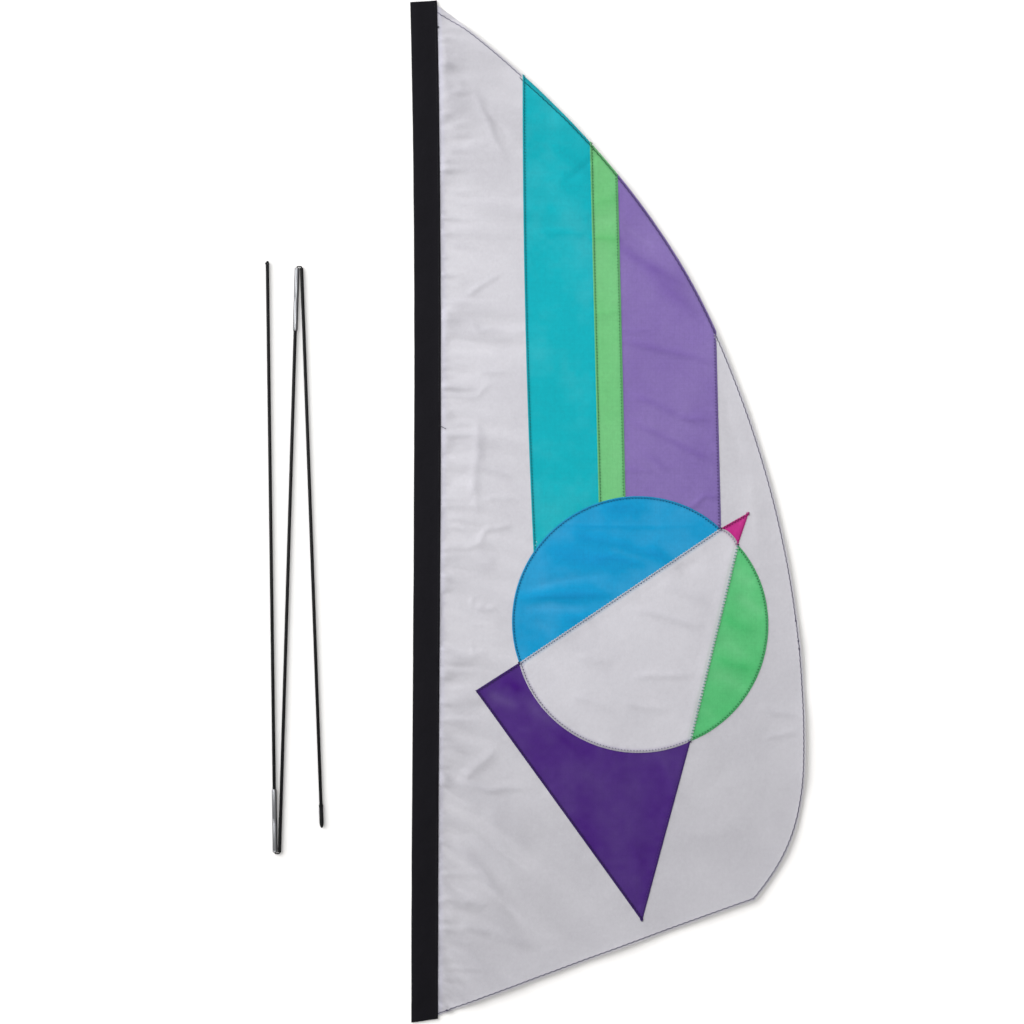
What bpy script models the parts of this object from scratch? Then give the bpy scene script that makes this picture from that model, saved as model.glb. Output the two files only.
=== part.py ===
"""Feather flag and its folding pole, laid out flat on the ground.

+X runs from the sleeve out to the flying edge, +Y runs up the flag, and +Z points up off
the ground. The origin is on the ground, at the middle of the whole layout. The cloth is a
black pole sleeve with nine panels sewn to it and to each other. The pole lies folded in
three beside it, its rods strung on one elastic cord.
"""

import math

import bmesh
import bpy
from mathutils import Matrix, Vector
from mathutils.geometry import interpolate_bezier, intersect_line_sphere_2d

MM = 0.001

# Cloth
CLOTH = 0.6 * MM
JOIN_GAP = 0.4 * MM  # clear space between two panels along a seam
THREAD_LIFT = 0.3 * MM
THREAD_HIGH = 0.3 * MM
THREAD_WIDE = 2.6 * MM  # a zigzag row's width
HEM_THREAD_WIDE = 1.2 * MM
HEM = 4.5 * MM
STEPS = 14  # straight pieces in one stretch of a curved outline

# The free outline, head to foot: x, y, heading in degrees, and how far the curve keeps to
# that heading before and after the point.
HEAD = (-103.2, 530.0, -36.5, 0.0, 151.5)
SHOULDER = (187.5, 190.5, -66.0, 144.0, 158.0)
BELLY = (283.2, -260.0, -91.0, 155.0, 54.0)
TAIL = (228.0, -408.5, -130.5, 52.0, 0.0)
FOOT_TAIL = (228.0, -408.5, -163.0, 0.0, 110.0)
FOOT_LUFF = (-102.0, -529.0, -160.0, 112.0, 0.0)

# Design
DISC_CENTRE = Vector((109.0, -118.0)) * MM
DISC_RADIUS = 134.0 * MM
WEDGE_LEFT = Vector((-61.5, -186.5)) * MM
WEDGE_TIP = Vector((222.5, -1.0)) * MM
WEDGE_POINT = Vector((110.0, -428.0)) * MM

# Stripe seams: x at the head end, x at the disc end, sideways bow
SEAM_TOP, SEAM_FOOT = 456.0 * MM, -38.0 * MM
SEAM_WHITE_TEAL = (-14.0, -2.0, -3.0)
SEAM_TEAL_GREEN = (54.6, 67.7, 0.0)
SEAM_GREEN_LAVENDER = (82.4, 93.7, 0.6)
SEAM_LAVENDER_WHITE = (183.9, 192.8, 0.0)

# Sleeve: a flat tube, closed at the head and open at the foot
SLEEVE_HALF_WIDTH = 14.0 * MM
SLEEVE_HALF_HEIGHT = 3.3 * MM
SLEEVE_WALL = 0.6 * MM
SLEEVE_SQUARENESS = 3.0  # 2 is an ellipse, larger is boxier
SLEEVE_MIDDLE = (-116.5, -116.8, -108.8, -117.6)  # the centreline's x, as a cubic curve
SLEEVE_FOOT, SLEEVE_HEAD = -532.6 * MM, 533.9 * MM
FOOT_SLANT, HEAD_SLANT = 0.150, 0.055  # rise across the sleeve at each end
SLEEVE_RINGS, SLEEVE_SIDES = 18, 20

# Pole
ROD_RADIUS = 1.75 * MM
ROD_BORE = 1.0 * MM
FERRULE_RADIUS = 2.5 * MM
FERRULE_BORE = 1.95 * MM
FERRULE_LENGTH = 66.0 * MM
FERRULE_SOCKET = 33.0 * MM  # depth left free for the next rod
CRIMP_DEPTH = 0.2 * MM
CAP_RADIUS = 2.2 * MM
CAP_LIP = 2.35 * MM
CORD_RADIUS = 0.6 * MM
CORD_INTO_BORE = 3.5 * MM
KNOT_RADIUS = 1.5 * MM
FREE_KNOT_RADIUS = 1.9 * MM
FOLD_PITCH = 4.6 * MM  # distance between two rods' axes where they fold
END_CLEAR = 0.5 * MM  # a rod's end, or a ferrule's mouth, stands this far off its pivot
LOOSE = 0.3 * MM
POLE_SIDES = 16
LOWER_LENGTH = 615.5 * MM  # pivot to free end
MIDDLE_LENGTH = 612.8 * MM  # pivot to pivot
UPPER_LENGTH = 586.8 * MM  # pivot to the cap's tip
CAP_LENGTH = 24.2 * MM
CAP_SOLID = 6.2 * MM
LOWER_LEAN, MIDDLE_LEAN, UPPER_LEAN = 0.75, -1.73, 2.07  # degrees, left of +Y
LOWER_PIVOT = Vector((-270.7, -356.9)) * MM
AXIS_HEIGHT = FERRULE_RADIUS

# Finishes: colour, roughness, metallic
FINISHES = {
    "black_cloth": ((0.012, 0.012, 0.014), 0.80, 0.0),
    "white_cloth": ((0.66, 0.65, 0.69), 0.75, 0.0),
    "teal_cloth": ((0.012, 0.43, 0.50), 0.65, 0.0),
    "pale_green_cloth": ((0.19, 0.58, 0.23), 0.65, 0.0),
    "lavender_cloth": ((0.25, 0.17, 0.46), 0.65, 0.0),
    "blue_cloth": ((0.013, 0.30, 0.63), 0.65, 0.0),
    "green_cloth": ((0.065, 0.52, 0.15), 0.65, 0.0),
    "magenta_cloth": ((0.55, 0.021, 0.22), 0.65, 0.0),
    "purple_cloth": ((0.070, 0.026, 0.205), 0.70, 0.0),
    "thread": ((0.40, 0.39, 0.44), 0.70, 0.0),
    "fibreglass": ((0.012, 0.012, 0.013), 0.35, 0.0),
    "ferrule_metal": ((0.55, 0.56, 0.60), 0.28, 1.0),
    "cap_rubber": ((0.014, 0.015, 0.015), 0.55, 0.0),
    "elastic_cord": ((0.03, 0.03, 0.03), 0.85, 0.0),
}


def clear_scene():
    for old in list(bpy.data.objects):
        bpy.data.objects.remove(old, do_unlink=True)


def finish(name):
    """The material of one finish, made once."""
    material = bpy.data.materials.get(name)
    if material:
        return material
    colour, roughness, metallic = FINISHES[name]
    material = bpy.data.materials.new(name)
    material.use_nodes = True
    shader = material.node_tree.nodes["Principled BSDF"]
    shader.inputs["Base Color"].default_value = (*colour, 1.0)
    shader.inputs["Roughness"].default_value = roughness
    shader.inputs["Metallic"].default_value = metallic
    material.diffuse_color = (*colour, 1.0)
    return material


def add_object(name, data, finish_name, parent=None):
    piece = bpy.data.objects.new(name, data)
    data.materials.append(finish(finish_name))
    piece.parent = parent
    bpy.context.scene.collection.objects.link(piece)
    return piece


def close_mesh(shape, name, smooth=False):
    """Turns a finished bmesh into a mesh with its faces pointing out."""
    bmesh.ops.recalc_face_normals(shape, faces=shape.faces)
    mesh = bpy.data.meshes.new(name)
    shape.to_mesh(mesh)
    shape.free()
    if smooth:
        mesh.shade_smooth()
        mesh.set_sharp_from_angle(angle=math.radians(40))
    return mesh


# ---------------------------------------------------------------- flat outlines


def curve_between(start, end, steps=STEPS):
    """Points from one outline knot to the next along a cubic curve."""
    (x0, y0, heading0, _, reach0), (x1, y1, heading1, reach1, _) = start, end
    first, last = Vector((x0, y0)) * MM, Vector((x1, y1)) * MM
    out = Vector((math.cos(math.radians(heading0)), math.sin(math.radians(heading0))))
    into = Vector((math.cos(math.radians(heading1)), math.sin(math.radians(heading1))))
    handles = (first + out * reach0 * MM, last - into * reach1 * MM)
    return [p.to_2d() for p in interpolate_bezier(first, *handles, last, steps + 1)]


def joined(*runs):
    """Runs of points end to end, without doubling the point where two runs meet."""
    points = []
    for run in runs:
        for point in run:
            if not points or (point - points[-1]).length > 0.05 * MM:
                points.append(point)
    if (points[0] - points[-1]).length <= 0.05 * MM:
        points.pop()
    return points


def seam_x(seam, y):
    head, foot, bow = seam
    along = (SEAM_TOP - y) / (SEAM_TOP - SEAM_FOOT)
    return (head + (foot - head) * along + bow * 4 * along * (1 - along)) * MM


def root(value, low, high):
    """Where value changes sign between low and high."""
    rising = value(low) < 0
    for _ in range(50):
        middle = (low + high) / 2
        if (value(middle) < 0) == rising:
            low = middle
        else:
            high = middle
    return (low + high) / 2


def seam_ends(seam, edge):
    """The seam's end on the free edge and its end on the disc."""
    def beyond(point):
        return point.x - seam_x(seam, point.y)

    after = next(i for i, point in enumerate(edge) if beyond(point) > 0)
    a, b = edge[after - 1], edge[after]
    head = a.lerp(b, root(lambda t: beyond(a.lerp(b, t)), 0, 1))

    def outside(y):
        return (Vector((seam_x(seam, y), y)) - DISC_CENTRE).length - DISC_RADIUS

    foot_y = root(outside, DISC_CENTRE.y, head.y)
    return head, Vector((seam_x(seam, foot_y), foot_y))


def seam_run(seam, start, end, steps=6):
    """Points down or up a stripe seam."""
    heights = [start.y + (end.y - start.y) * i / steps for i in range(steps + 1)]
    return [Vector((seam_x(seam, y), y)) for y in heights]


def edge_between(edge, start, end):
    """The free edge's points from one place on it to another."""
    return [start, *(p for p in edge if start.y > p.y > end.y), end]


def disc_arc(start, end):
    """Points round the disc, anticlockwise from one place on it to another."""
    a, b = ((p - DISC_CENTRE) for p in (start, end))
    first = math.atan2(a.y, a.x)
    sweep = (math.atan2(b.y, b.x) - first) % math.tau
    steps = max(3, round(sweep / math.radians(6)))
    angles = [first + sweep * i / steps for i in range(steps + 1)]
    return [DISC_CENTRE + DISC_RADIUS * Vector((math.cos(t), math.sin(t))) for t in angles]


def mitres(points, closed=True):
    """For each point of a line, the step that shifts the line one unit to its left."""
    count, steps = len(points), []
    for i, point in enumerate(points):
        sides = []
        if closed or i > 0:
            sides.append(point - points[i - 1])
        if closed or i < count - 1:
            sides.append(points[(i + 1) % count] - point)
        normals = [Vector((-side.y, side.x)).normalized() for side in sides]
        total = sum(normals, Vector((0, 0)))
        steps.append(total / (1 + normals[0].dot(normals[-1])))
    return steps


def inset(points, distance):
    """A closed outline moved in by a distance all round."""
    area = sum(a.cross(b) for a, b in zip(points, points[1:] + points[:1]))
    turn = 1 if area > 0 else -1
    return [p + m * distance * turn for p, m in zip(points, mitres(points))]


def crossings(start, end):
    """Where a side of the wedge meets the disc, nearest to its start first."""
    hits = intersect_line_sphere_2d(start, end, DISC_CENTRE, DISC_RADIUS, True)
    return sorted((h.to_2d() for h in hits if h), key=lambda h: (h - start).length)


# ---------------------------------------------------------------- cloth pieces


def panel(name, outline, finish_name):
    """A flat piece of cloth on the ground, clear of its neighbours by the join gap."""
    shape = bmesh.new()
    corners = [shape.verts.new((*p, 0)) for p in inset(outline, JOIN_GAP / 2)]
    face = shape.faces.new(corners)
    raised = bmesh.ops.extrude_face_region(shape, geom=[face])["geom"]
    upper = [v for v in raised if isinstance(v, bmesh.types.BMVert)]
    bmesh.ops.translate(shape, verts=upper, vec=(0, 0, CLOTH))
    return add_object(name, close_mesh(shape, name), finish_name)


def stitch_row(name, line, width, layer=1, closed=False):
    """A row of stitches as one thin strip along its line, lying over the cloth."""
    low = CLOTH + layer * THREAD_LIFT + (layer - 1) * THREAD_HIGH
    shape = bmesh.new()
    sections = []
    for point, mitre in zip(line, mitres(line, closed)):
        left, right = point + mitre * width / 2, point - mitre * width / 2
        corners = [(left, low), (right, low), (right, low + THREAD_HIGH), (left, low + THREAD_HIGH)]
        sections.append([shape.verts.new((*p, z)) for p, z in corners])
    following = sections[1:] + sections[:1] if closed else sections[1:]
    for a, b in zip(sections, following):
        for i in range(4):
            shape.faces.new((a[i], a[(i + 1) % 4], b[(i + 1) % 4], b[i]))
    if not closed:
        shape.faces.new(sections[0])
        shape.faces.new(sections[-1])
    return add_object(name, close_mesh(shape, name), "thread")


def sleeve_middle(along):
    """The sleeve's centreline x, from its foot at 0 to its head at 1."""
    a, b, c, d = SLEEVE_MIDDLE
    back = 1 - along
    x = a * back**3 + 3 * b * back**2 * along + 3 * c * back * along**2 + d * along**3
    return x * MM


def sleeve_edge(offset):
    """Points up the sleeve's flag side, a distance off its edge."""
    points = []
    for i in range(SLEEVE_RINGS + 1):
        along = i / SLEEVE_RINGS
        y = SLEEVE_FOOT + (SLEEVE_HEAD - SLEEVE_FOOT) * along
        points.append(Vector((sleeve_middle(along) + SLEEVE_HALF_WIDTH + offset, y)))
    return points


def sleeve_ring(shape, along, inward, drop=0.0):
    """One boxy oval round the sleeve, inward from its outer face, drop below its place."""
    slant = FOOT_SLANT * (1 - along) ** 8 + HEAD_SLANT * along**8
    ring = []
    for i in range(SLEEVE_SIDES):
        turn = math.tau * (i + 0.5) / SLEEVE_SIDES
        cosine, sine = math.cos(turn), math.sin(turn)
        power = 2 / SLEEVE_SQUARENESS
        across = math.copysign(abs(cosine) ** power, cosine) * (SLEEVE_HALF_WIDTH - inward)
        up = math.copysign(abs(sine) ** power, sine) * (SLEEVE_HALF_HEIGHT - inward)
        y = SLEEVE_FOOT + (SLEEVE_HEAD - SLEEVE_FOOT) * along + slant * across - drop
        place = (sleeve_middle(along) + across, y, SLEEVE_HALF_HEIGHT + up)
        ring.append(shape.verts.new(place))
    return ring


def pole_sleeve():
    """The hollow sleeve that the pole slides up into."""
    shape = bmesh.new()
    stations = [i / SLEEVE_RINGS for i in range(SLEEVE_RINGS + 1)]
    outer = [sleeve_ring(shape, along, 0) for along in stations]
    inner = [sleeve_ring(shape, along, SLEEVE_WALL) for along in stations[:-1]]
    inner.append(sleeve_ring(shape, 1.0, SLEEVE_WALL, drop=SLEEVE_WALL))
    for rings in (outer, inner):
        for low, high in zip(rings, rings[1:]):
            bridge(shape, low, high)
        shape.faces.new(rings[-1])
    bridge(shape, outer[0], inner[0])
    return add_object("pole_sleeve", close_mesh(shape, "pole_sleeve", smooth=True), "black_cloth")


def bridge(shape, ring, other):
    for i in range(len(ring)):
        after = (i + 1) % len(ring)
        shape.faces.new((ring[i], ring[after], other[after], other[i]))


def flag():
    """Every piece of cloth and each row of stitches."""
    edge = joined(
        curve_between(HEAD, SHOULDER),
        curve_between(SHOULDER, BELLY),
        curve_between(BELLY, TAIL, STEPS // 2),
    )
    foot = curve_between(FOOT_TAIL, FOOT_LUFF, STEPS // 2)
    luff = [p for p in sleeve_edge(LOOSE) if foot[-1].y < p.y < edge[0].y]
    disc_left, disc_top = crossings(WEDGE_LEFT, WEDGE_TIP)
    disc_side, disc_low = crossings(WEDGE_TIP, WEDGE_POINT)
    white_head, white_disc = seam_ends(SEAM_WHITE_TEAL, edge)
    teal_head, teal_disc = seam_ends(SEAM_TEAL_GREEN, edge)
    green_head, green_disc = seam_ends(SEAM_GREEN_LAVENDER, edge)
    outer_head, _ = seam_ends(SEAM_LAVENDER_WHITE, edge)
    outer_run = [outer_head, outer_head.lerp(disc_top, 0.5), disc_top]

    pole_sleeve()
    panel(
        "white_ground",
        joined(
            edge_between(edge, edge[0], white_head),
            seam_run(SEAM_WHITE_TEAL, white_head, white_disc),
            disc_arc(white_disc, disc_left),
            [WEDGE_LEFT, WEDGE_POINT],
            disc_arc(disc_low, disc_side),
            [WEDGE_TIP],
            outer_run[::-1],
            edge_between(edge, outer_head, edge[-1]),
            foot,
            luff,
        ),
        "white_cloth",
    )
    panel(
        "teal_stripe",
        joined(
            edge_between(edge, white_head, teal_head),
            seam_run(SEAM_TEAL_GREEN, teal_head, teal_disc),
            disc_arc(teal_disc, white_disc),
            seam_run(SEAM_WHITE_TEAL, white_disc, white_head),
        ),
        "teal_cloth",
    )
    panel(
        "green_stripe",
        joined(
            edge_between(edge, teal_head, green_head),
            seam_run(SEAM_GREEN_LAVENDER, green_head, green_disc),
            disc_arc(green_disc, teal_disc),
            seam_run(SEAM_TEAL_GREEN, teal_disc, teal_head),
        ),
        "pale_green_cloth",
    )
    panel(
        "lavender_stripe",
        joined(
            edge_between(edge, green_head, outer_head),
            outer_run,
            disc_arc(disc_top, green_disc),
            seam_run(SEAM_GREEN_LAVENDER, green_disc, green_head),
        ),
        "lavender_cloth",
    )
    panel("blue_segment", disc_arc(disc_top, disc_left), "blue_cloth")
    panel("green_segment", disc_arc(disc_low, disc_side), "green_cloth")
    panel(
        "white_centre",
        joined(disc_arc(disc_left, disc_low), disc_arc(disc_side, disc_top)),
        "white_cloth",
    )
    panel("magenta_tip", joined(disc_arc(disc_side, disc_top), [WEDGE_TIP]), "magenta_cloth")
    panel(
        "purple_point",
        joined(disc_arc(disc_left, disc_low), [WEDGE_POINT, WEDGE_LEFT]),
        "purple_cloth",
    )

    clear = 2 * HEM
    hem_start = Vector((edge[0].x + clear, edge[0].y))
    sewn_edge = [p - m * HEM for p, m in zip(edge, mitres(edge, closed=False))]
    sewn_edge = [p for p in sewn_edge if p.x > hem_start.x or p.y < 0]
    stitch_row("edge_hem_stitches", sewn_edge[:-1], HEM_THREAD_WIDE)
    sewn_foot = [p - m * HEM for p, m in zip(foot, mitres(foot, closed=False))]
    stitch_row("foot_hem_stitches", sewn_foot[1:-1], HEM_THREAD_WIDE)
    sewn_luff = [p for p in sleeve_edge(LOOSE + THREAD_WIDE) if abs(p.y) < edge[0].y - clear]
    stitch_row("sleeve_stitches", sewn_luff, THREAD_WIDE)
    rows = {
        "white_teal_stitches": seam_run(SEAM_WHITE_TEAL, white_head, white_disc),
        "teal_green_stitches": seam_run(SEAM_TEAL_GREEN, teal_head, teal_disc),
        "green_lavender_stitches": seam_run(SEAM_GREEN_LAVENDER, green_head, green_disc),
        "lavender_white_stitches": outer_run,
    }
    for name, run in rows.items():
        start = run[0].lerp(run[1], 5 * HEM / (run[1] - run[0]).length)
        end = run[-1].lerp(run[-2], HEM / (run[-1] - run[-2]).length)
        stitch_row(name, [start, *run[1:-1], end], THREAD_WIDE)
    ring = disc_arc(disc_left, disc_low) + disc_arc(disc_low, disc_left)[1:-1]
    stitch_row("disc_stitches", joined(ring), THREAD_WIDE, closed=True)
    wedge = [WEDGE_LEFT, WEDGE_POINT, WEDGE_TIP]
    stitch_row("wedge_stitches", wedge, THREAD_WIDE, layer=2, closed=True)


# ---------------------------------------------------------------- pole pieces


def turned(name, profile, away, parent, finish_name, side):
    """A turned piece. The profile's points are (distance from the fold pivot, radius)
    round a closed section. away is +1 or -1, the way the rod runs from its pivot along the
    frame's Y, and side is the way it stands off the pivot along the frame's X."""
    shape = bmesh.new()
    rings = []
    for distance, radius in profile:
        if radius == 0:
            rings.append([shape.verts.new((0, away * distance, 0))])
            continue
        turns = [math.tau * i / POLE_SIDES for i in range(POLE_SIDES)]
        rings.append(
            [
                shape.verts.new((radius * math.cos(t), away * distance, radius * math.sin(t)))
                for t in turns
            ]
        )
    on_axis = len(rings[0]) == 1
    for ring, other in zip(rings, rings[1:] if on_axis else rings[1:] + rings[:1]):
        if len(ring) == 1 or len(other) == 1:
            fan(shape, ring, other)
        else:
            bridge(shape, ring, other)
    piece = add_object(name, close_mesh(shape, name, smooth=True), finish_name, parent)
    piece.location = (side * FOLD_PITCH / 2, 0, 0)
    return piece


def fan(shape, ring, other):
    tip, rim = (ring[0], other) if len(ring) == 1 else (other[0], ring)
    for i in range(len(rim)):
        shape.faces.new((tip, rim[i], rim[(i + 1) % len(rim)]))


def tube_profile(start, end, outer, bore):
    """A plain tube with small chamfers on its outer corners."""
    chamfer = 0.15 * MM
    return [
        (start, bore),
        (start, outer - chamfer),
        (start + chamfer, outer),
        (end - chamfer, outer),
        (end, outer - chamfer),
        (end, bore),
    ]


def ferrule_profile(mouth):
    """A metal sleeve with rounded lips and a crimp where its socket ends."""
    lip = 0.35 * MM
    crimp = mouth + FERRULE_SOCKET
    far = mouth + FERRULE_LENGTH
    return [
        (mouth, FERRULE_BORE),
        (mouth, FERRULE_RADIUS - lip),
        (mouth + lip, FERRULE_RADIUS),
        (crimp - 1.2 * MM, FERRULE_RADIUS),
        (crimp - 0.4 * MM, FERRULE_RADIUS - CRIMP_DEPTH),
        (crimp + 0.4 * MM, FERRULE_RADIUS - CRIMP_DEPTH),
        (crimp + 1.2 * MM, FERRULE_RADIUS),
        (far - 1.0 * MM, FERRULE_RADIUS),
        (far, FERRULE_BORE + 0.25 * MM),
        (far, FERRULE_BORE),
    ]


def knot_profile(start, radius, squash=1.0):
    """A round knot on the axis."""
    steps = 8
    length = 2 * radius * squash
    points = []
    for i in range(steps + 1):
        turn = math.pi * i / steps
        across = 0 if i in (0, steps) else radius * math.sin(turn)
        points.append((start + length * (1 - math.cos(turn)) / 2, across))
    return points


def cap_profile(tip):
    """A blind rubber cap: its lip, its sides, a bullet nose and the bore for the rod."""
    mouth = tip - CAP_LENGTH
    nose = CAP_SOLID - 0.4 * MM
    floor = tip - CAP_SOLID
    outer = [(mouth, CAP_LIP), (mouth + 1.4 * MM, CAP_LIP), (mouth + 2.0 * MM, CAP_RADIUS)]
    for i in range(6):
        turn = math.pi / 2 * i / 6
        outer.append((tip - nose + nose * math.sin(turn), CAP_RADIUS * math.cos(turn)))
    return [(floor, 0), (floor, FERRULE_BORE), (mouth, FERRULE_BORE), *outer, (tip, 0)]


def frame_empty(name, pivot, lean):
    empty = bpy.data.objects.new(name, None)
    empty.location = (*pivot, AXIS_HEIGHT)
    empty.rotation_euler = (0, 0, math.radians(lean))
    bpy.context.scene.collection.objects.link(empty)
    return empty


def cord_bend(name, pivot, start_lean, end_lean, way):
    """The bare cord over one fold: out of one bore, half round the pivot, into the next.
    way is +1 where the bend goes over the head end and -1 at the foot end."""
    radius = FOLD_PITCH / 2
    depth = CORD_INTO_BORE
    points = []
    right, left = math.radians(start_lean), math.radians(end_lean) + way * math.pi
    runs = ((right, -way * depth), (right, -way * depth / 2))
    for turn, along in runs:
        points.append(bend_point(pivot, radius, turn, along))
    steps = 12
    for i in range(steps + 1):
        points.append(bend_point(pivot, radius, right + (left - right) * i / steps, 0))
    for along in (way * depth / 2, way * depth):
        points.append(bend_point(pivot, radius, left, along))
    curve = bpy.data.curves.new(name, "CURVE")
    curve.dimensions = "3D"
    curve.bevel_depth = CORD_RADIUS
    curve.bevel_resolution = 2
    curve.use_fill_caps = True
    spline = curve.splines.new("POLY")
    spline.points.add(len(points) - 1)
    for point, place in zip(spline.points, points):
        point.co = (*place, AXIS_HEIGHT, 1)
    return add_object(name, curve, "elastic_cord")


def bend_point(pivot, radius, turn, along):
    """A point off the pivot: radius out at this turn, then along the tangent there."""
    out = Vector((math.cos(turn), math.sin(turn)))
    return pivot + out * radius + Vector((-out.y, out.x)) * along


def pole():
    """Three rods strung on one cord, with a ferrule at each fold."""
    lean = Matrix.Rotation(math.radians(MIDDLE_LEAN), 2)
    upper_pivot = LOWER_PIVOT + lean @ Vector((FOLD_PITCH, MIDDLE_LENGTH))
    upper = frame_empty("upper_section_frame", upper_pivot, UPPER_LEAN)
    middle = frame_empty("middle_section_frame", upper_pivot, MIDDLE_LEAN)
    lower = frame_empty("lower_section_frame", LOWER_PIVOT, LOWER_LEAN)
    seat = END_CLEAR + FERRULE_SOCKET + LOOSE
    cord_start = CORD_INTO_BORE + LOOSE

    rod_end = UPPER_LENGTH - CAP_SOLID - 2 * KNOT_RADIUS - 2 * LOOSE
    tube = tube_profile(END_CLEAR, rod_end, ROD_RADIUS, ROD_BORE)
    turned("upper_rod", tube, -1, upper, "fibreglass", 1)
    turned("upper_rod_cap", cap_profile(UPPER_LENGTH), -1, upper, "cap_rubber", 1)
    cord = [(cord_start, 0), (cord_start, CORD_RADIUS), (rod_end, CORD_RADIUS), (rod_end, 0)]
    turned("upper_cord", cord, -1, upper, "elastic_cord", 1)
    knot = knot_profile(rod_end + LOOSE, KNOT_RADIUS)
    turned("upper_cord_knot", knot, -1, upper, "elastic_cord", 1)

    foot_end = MIDDLE_LENGTH - END_CLEAR
    tube = tube_profile(seat, foot_end, ROD_RADIUS, ROD_BORE)
    turned("middle_rod", tube, -1, middle, "fibreglass", -1)
    turned("middle_ferrule", ferrule_profile(END_CLEAR), -1, middle, "ferrule_metal", -1)
    cord_end = MIDDLE_LENGTH - cord_start
    cord = [(cord_start, 0), (cord_start, CORD_RADIUS), (cord_end, CORD_RADIUS), (cord_end, 0)]
    turned("middle_cord", cord, -1, middle, "elastic_cord", -1)

    tube = tube_profile(seat, LOWER_LENGTH, ROD_RADIUS, ROD_BORE)
    turned("lower_rod", tube, 1, lower, "fibreglass", -1)
    turned("lower_ferrule", ferrule_profile(END_CLEAR), 1, lower, "ferrule_metal", -1)
    cord_end = LOWER_LENGTH
    cord = [(cord_start, 0), (cord_start, CORD_RADIUS), (cord_end, CORD_RADIUS), (cord_end, 0)]
    turned("lower_cord", cord, 1, lower, "elastic_cord", -1)
    knot = knot_profile(LOWER_LENGTH + LOOSE, FREE_KNOT_RADIUS, squash=1.1)
    turned("lower_cord_knot", knot, 1, lower, "elastic_cord", -1)

    cord_bend("upper_cord_bend", upper_pivot, UPPER_LEAN, MIDDLE_LEAN, 1)
    cord_bend("lower_cord_bend", LOWER_PIVOT, MIDDLE_LEAN, LOWER_LEAN, -1)


clear_scene()
flag()
pole()
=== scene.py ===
"""Feather flag and its folding pole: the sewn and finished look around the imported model.

The flag lies flat, its black sleeve on the left and its flying edge on the right. The pole lies
folded in three beside it. Flat patterns are in millimetres, and finished meshes in metres.
"""

import math

import bpy
import numpy as np
from bpy.props import FloatProperty, FloatVectorProperty, PointerProperty
from mathutils import Matrix, Vector
from mathutils.geometry import delaunay_2d_cdt
from mathutils.kdtree import KDTree


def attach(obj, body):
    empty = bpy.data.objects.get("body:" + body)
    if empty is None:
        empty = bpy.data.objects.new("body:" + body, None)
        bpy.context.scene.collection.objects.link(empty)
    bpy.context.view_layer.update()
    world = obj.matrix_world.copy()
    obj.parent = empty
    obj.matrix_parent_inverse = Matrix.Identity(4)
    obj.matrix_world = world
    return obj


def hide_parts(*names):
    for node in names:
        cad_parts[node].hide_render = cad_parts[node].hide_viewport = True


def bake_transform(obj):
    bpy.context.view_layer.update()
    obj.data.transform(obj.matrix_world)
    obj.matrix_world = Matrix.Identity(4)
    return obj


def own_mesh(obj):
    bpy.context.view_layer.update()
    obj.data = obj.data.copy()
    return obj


bl_info = {
    "name": "Feather Flag with Pole",
    "version": (1, 0, 0),
    "blender": (4, 5, 0),
    "location": "View3D > Sidebar > Feather Flag",
    "description": "Sews a feather flag and lays it out flat beside its folding pole",
    "category": "Add Mesh",
}

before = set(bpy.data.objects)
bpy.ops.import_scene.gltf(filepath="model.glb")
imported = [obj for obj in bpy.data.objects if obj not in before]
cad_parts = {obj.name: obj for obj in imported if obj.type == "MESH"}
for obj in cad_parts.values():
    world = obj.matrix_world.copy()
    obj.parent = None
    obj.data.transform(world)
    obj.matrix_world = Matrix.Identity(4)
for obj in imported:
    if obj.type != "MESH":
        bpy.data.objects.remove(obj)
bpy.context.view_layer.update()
MM = 0.001

# ------------------------------------------------------------------ the flat pattern, in mm

# The free outline: x, y, heading in degrees, reach before and reach after the point
HEAD = (-103.2, 530.0, -36.5, 0.0, 151.5)
SHOULDER = (187.5, 190.5, -66.0, 144.0, 158.0)
BELLY = (281.8, -260.0, -91.0, 155.0, 66.0)
TAIL = (228.6, -406.3, -130.5, 54.0, 0.0)
FOOT_TAIL = (228.6, -406.3, -162.5, 0.0, 30.0)
FOOT_LUFF = (-102.0, -527.3, -159.5, 60.0, 0.0)

DISC_CENTRE = np.array((108.5, -118.0))
DISC_RADIUS = 134.7
WEDGE_LEFT = np.array((-63.3, -187.3))
WEDGE_TIP = np.array((222.8, -0.7))
WEDGE_POINT = np.array((110.9, -428.5))
# Where the wedge's sides meet the disc, pulled in a little by the sewing
DISC_LEFT = np.array((-17.6, -158.2))
DISC_TOP = np.array((192.9, -17.7))
DISC_SIDE = np.array((211.3, -34.9))
DISC_LOW = np.array((161.7, -240.2))

# Stripe seams: x at the head end, x at the disc end, sideways bow
SEAM_TOP, SEAM_FOOT = 456.0, -38.0
SEAM_WHITE_TEAL = (-14.0, -2.8, -3.0)
SEAM_TEAL_GREEN = (54.6, 66.8, 0.0)
SEAM_GREEN_LAVENDER = (82.4, 94.7, 0.6)
SEAM_LAVENDER_WHITE = (180.6, 194.2, 0.4)

SLEEVE_HALF = 14.0
SLEEVE_CLOTH, SLEEVE_PUFF = 0.28, 1.75  # its cloth's thickness, and how far it stands open
SLEEVE_MIDDLE = (-116.5, -116.8, -108.8, -117.6)
SLEEVE_FOOT, SLEEVE_HEAD = -532.6, 533.9
FOOT_SLANT, HEAD_SLANT = 0.150, 0.055

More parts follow.
